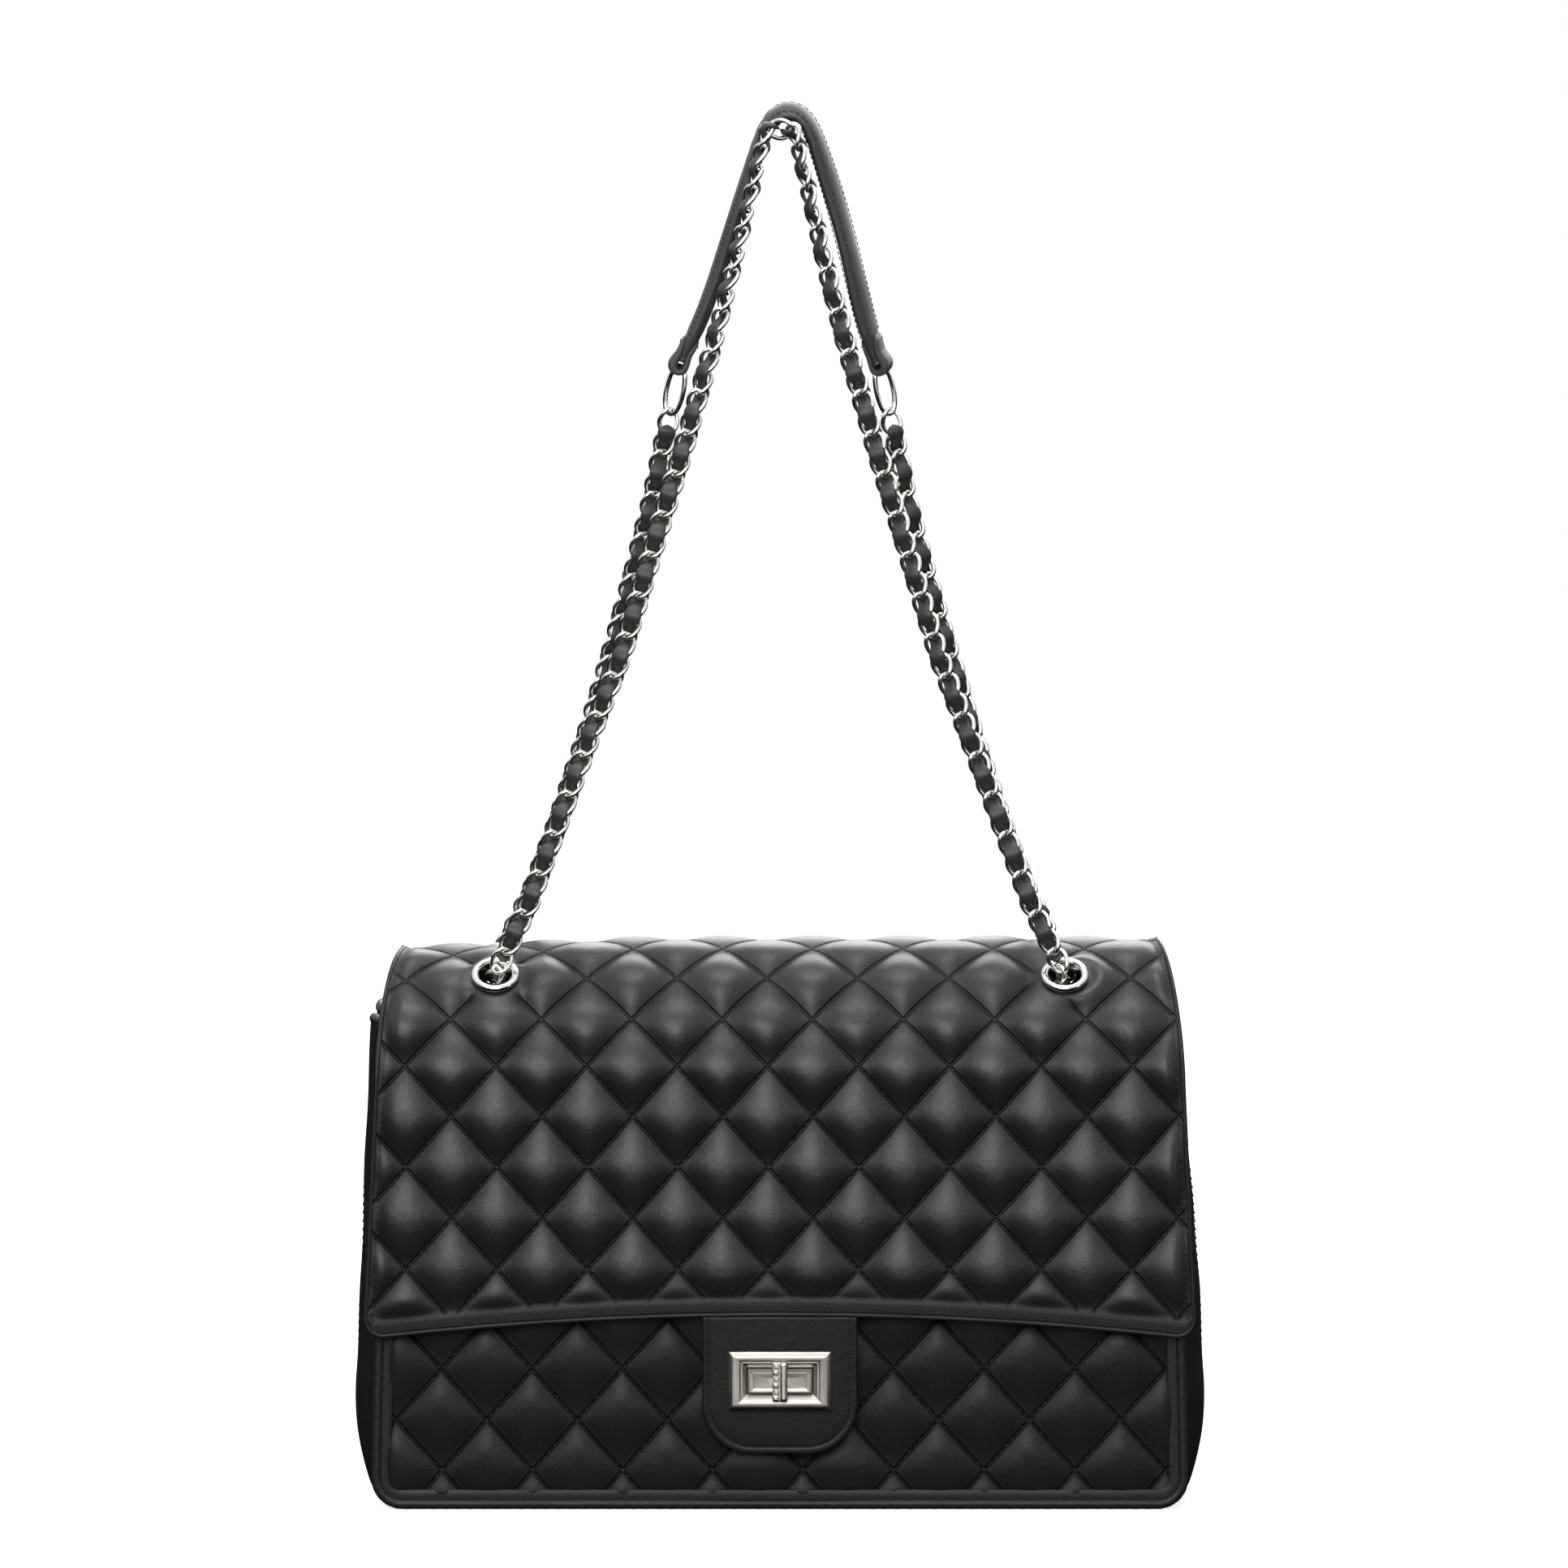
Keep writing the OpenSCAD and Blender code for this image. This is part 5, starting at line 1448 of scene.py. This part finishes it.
# %% Rings and end tabs
ring_l, ring_w, ring_wire = 24 * mm, 11 * mm, 2.2 * mm
tab_half_w, tab_swell = 4.6 * mm, 2.2 * mm      # the tab is narrow at both ends of its leather
ring_span = ring_l - ring_wire
ring_turn = math.radians(32)
tab_t, tab_fold_r, tab_length = 1.45 * mm, 2.6 * mm, 13.5 * mm
first_run = rear_path[1] - rear_path[0]
ring_lean = math.atan2(first_run[0], -first_run[1])
ring_parts, tab_parts, tab_rows = [], [], []
ring_points, ring_face_list = wire_link(ring_l, ring_w, ring_wire, 0.0, rings=48, sides=14)
fold = np.radians(np.linspace(180, 0, 15))[:, None]
for mirrored in (-1, 1):
    origin, across_x, up, across_y = rear_plane
    up_ring = -mirrored * math.sin(ring_lean) * across_x + math.cos(ring_lean) * up
    side_ring = np.cross(across_y, up_ring)
    wide = side_ring * math.cos(ring_turn) + across_y * math.sin(ring_turn) * mirrored
    deep = np.cross(up_ring, wide)
    foot = origin + mirrored * rear_path[0, 0] * across_x + rear_path[0, 1] * up
    middle = foot + up_ring * ring_span / 2
    x, y, z = (ring_points[:, k:k + 1] for k in range(3))
    ring_parts.append((middle + x * wide + y * deep + z * up_ring, ring_face_list))
    ring_top = foot + up_ring * ring_span
    from_ring = np.arange(60) if mirrored < 0 else len(s) - 1 - np.arange(60)
    far = np.maximum.accumulate(np.linalg.norm(place[from_ring] - ring_top, axis=1))
    rows = from_ring[np.searchsorted(far, np.linspace(tab_length, 5.5 * mm, 9))]
    outward_side = side[rows] * np.sign((side[rows] * across_x * mirrored).sum(1))[:, None]
    lift = (full_t[rows] - 0.1 * mm)[:, None]
    turn_out, turn_up = outward_side[-1], unit(place[rows[-1]] - ring_top)
    folded = ring_top + turn_out * tab_fold_r * np.cos(fold) - turn_up * tab_fold_r * np.sin(fold)
    line = np.concatenate([place[rows] - outward_side * lift, folded,
                           (place[rows] + outward_side * lift)[::-1]])
    line = path_at(line, np.linspace(0, path_run(line)[-1], 64))
    for _ in range(6):
        line[1:-1] = (line[:-2] + 2 * line[1:-1] + line[2:]) / 4
    bulk = np.exp(-((np.linspace(0, 1, len(line)) - 0.62) / 0.13) ** 2)[:, None]
    line = line + turn_out * bulk * 0.8 * mm
    run = unit(np.gradient(line, axis=0))
    tab_across = np.repeat(out[rows[-1]][None], len(line), 0)
    size = taper(len(line), 12)[:, None]
    tab_wide = tab_across * (tab_half_w + tab_swell * size)
    tab_deep = np.cross(run, tab_across) * (tab_t * size + 0.8 * mm * bulk)
    filling = ring_top + turn_up * np.linspace(2.3 * mm, 8 * mm, 6)[:, None]
    filling_deep = turn_out[None] * 1.9 * mm + 0 * filling
    tab_parts += [sweep(line, tab_wide, tab_deep, 18, power=0.6),
                  sweep(filling, tab_across[:6] * 5.6 * mm, filling_deep, 12, power=0.7)]
    for face in (-1, 1):
        row = rows[3]
        at = place[row] + np.linspace(-5.2, 5.2, 6)[:, None] * mm * out[rows[-1]] + \
            face * outward_side[3] * (full_t[row] - 0.1 * mm + tab_t)
        facing = np.repeat([face * outward_side[3]], 5, 0)
        tab_rows.append(stitches(at[:-1], at[1:], facing, radius=0.26 * mm))
obj = piece("pad_rings_wire", ring_parts, [polished_nickel], "rear_strand")
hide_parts("pad_rings")
obj = piece("pad_end_tabs", tab_parts, [pad_leather], "rear_strand")
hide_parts("pad_end_loops")
piece("pad_end_thread", tab_rows, [thread], "rear_strand")

# %% [markdown]
# ## Camera
#
# The photograph is taken nearly level, from about 4 m away with a long lens, which keeps the bag's
# sides nearly parallel. The frame is 684 mm wide at the bag's front, so the lens follows from the
# distance. The camera looks down by 5 degrees: that shows the eyelets as flat ovals.

# %% Camera
look_down = math.radians(5)
distance = 4000 * mm
sensor = 36.0
frame_w = 683.5 * mm
centre_v = 320 * mm          # height in the picture of its middle row, measured at the bag's front
aim = Vector((1.8 * mm, -58 * mm, centre_v / math.cos(look_down)))
camera_data = bpy.data.cameras.new("camera")
camera_data.sensor_width = sensor
camera_data.lens = sensor * distance / frame_w
camera_data.clip_start, camera_data.clip_end = 0.05, 50
camera = bpy.data.objects.new("camera", camera_data)
camera.location = aim + distance * Vector((0, -math.cos(look_down), math.sin(look_down)))
camera.rotation_euler = (math.pi / 2 - look_down, 0, 0)
bpy.context.scene.collection.objects.link(camera)
bpy.context.scene.camera = camera
print("lens:", round(camera_data.lens, 1), "mm")

# %% [markdown]
# ## Light, floor and background
#
# Product light: one large soft box above and a little in front draws the highlights on the upper
# side of each diamond, and weaker boxes at the sides edge the metal. The background is white only to
# the camera and in reflections, so black leather stays black. The floor is white in the same way and
# keeps a soft shadow.

# %% Lamps
def soft_box(name, place, target, width, depth, power):
    light = bpy.data.lights.new(name, "AREA")
    light.shape, light.size, light.size_y, light.energy = "RECTANGLE", width, depth, power
    lamp = bpy.data.objects.new(name, light)
    lamp.location = place
    lamp.rotation_euler = (Vector(target) - Vector(place)).to_track_quat("-Z", "Y").to_euler()
    bpy.context.scene.collection.objects.link(lamp)


soft_box("key_soft_box", (-0.35, -1.5, 1.0), (0, 0, 0.15), 1.3, 0.8, 24)
soft_box("overhead_soft_box", (0.0, -0.1, 1.7), (0, 0, 0.2), 1.0, 0.6, 15)
soft_box("camera_fill", (0.0, -2.4, 0.5), (0, 0, 0.1), 1.6, 0.8, 6.5)
soft_box("right_strip", (1.7, -1.1, 0.4), (0, 0, 0.15), 0.3, 0.8, 1.6)
soft_box("rear_soft_box", (0.3, 1.5, 1.0), (0, 0, 0.15), 1.3, 0.8, 18)
print("lamps:", len(bpy.data.lights))

# %% [markdown]
# Black leather on a white stage reflects the stage and turns grey. Photographers stand black cards
# round it, just outside the picture. These cards show only in reflections: the camera, the shadows
# and the floor know nothing of them.

# %% Black cards
def ring_of_corners(far, z):
    return [(-far, -far, z), (far, -far, z), (far, far, z), (-far, far, z)]


card_material, tree = new_material("black_velvet_card")
velvet = add(tree, "ShaderNodeBsdfDiffuse", values={"Color": linear("#0a0a0a")})
cards = mesh_object("black_cards", ring_of_corners(2.7, 0.0005) + ring_of_corners(2.7, 0.7),
                    [(0, 1, 2, 3)] + [(k, (k + 1) % 4, 4 + (k + 1) % 4, 4 + k) for k in range(4)],
                    [finish_material(card_material, tree, velvet)])
cards.visible_camera = cards.visible_diffuse = cards.visible_shadow = cards.visible_transmission = False
cards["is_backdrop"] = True

# %% World and floor
def in_view(tree):
    """1 for rays of the camera, straight, through or mirrored, and 0 for those that only light."""
    ray = add(tree, "ShaderNodeLightPath")
    straight = add(tree, "ShaderNodeMath", {"operation": "MAXIMUM"},
                   links={0: ray.outputs["Is Camera Ray"], 1: ray.outputs["Is Transmission Ray"]})
    return add(tree, "ShaderNodeMath", {"operation": "MAXIMUM"},
               links={0: straight.outputs[0], 1: ray.outputs["Is Glossy Ray"]}).outputs[0]


world = bpy.data.worlds.new("white_studio")
bpy.context.scene.world = world
world.use_nodes = True
tree = world.node_tree
tree.nodes.clear()
strength = add(tree, "ShaderNodeMapRange", values={"To Min": 0.3, "To Max": 1.0},
               links={"Value": in_view(tree)})
background = add(tree, "ShaderNodeBackground", values={"Color": linear("#ffffff")},
                 links={"Strength": strength.outputs[0]})
add(tree, "ShaderNodeOutputWorld", links={"Surface": background.outputs[0]})

floor_material, tree = new_material("white_paper_floor")
paper = add(tree, "ShaderNodeBsdfDiffuse", values={"Color": linear("#f4f4f4")})
glow = add(tree, "ShaderNodeEmission", values={"Color": linear("#ffffff"), "Strength": 0.75})
both = add(tree, "ShaderNodeAddShader", links={0: paper.outputs[0], 1: glow.outputs[0]})
pick = add(tree, "ShaderNodeMixShader", links={0: in_view(tree), 1: paper.outputs[0], 2: both.outputs[0]})
floor = mesh_object("studio_floor", ring_of_corners(6.0, 0), [(0, 1, 2, 3)],
                    [finish_material(floor_material, tree, pick)])
floor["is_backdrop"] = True
bpy.context.scene.view_settings.view_transform = "Standard"

# %% Sizes and end
low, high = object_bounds()
print("dressed box in mm:", [round(w / mm, 1) for w in high - low])
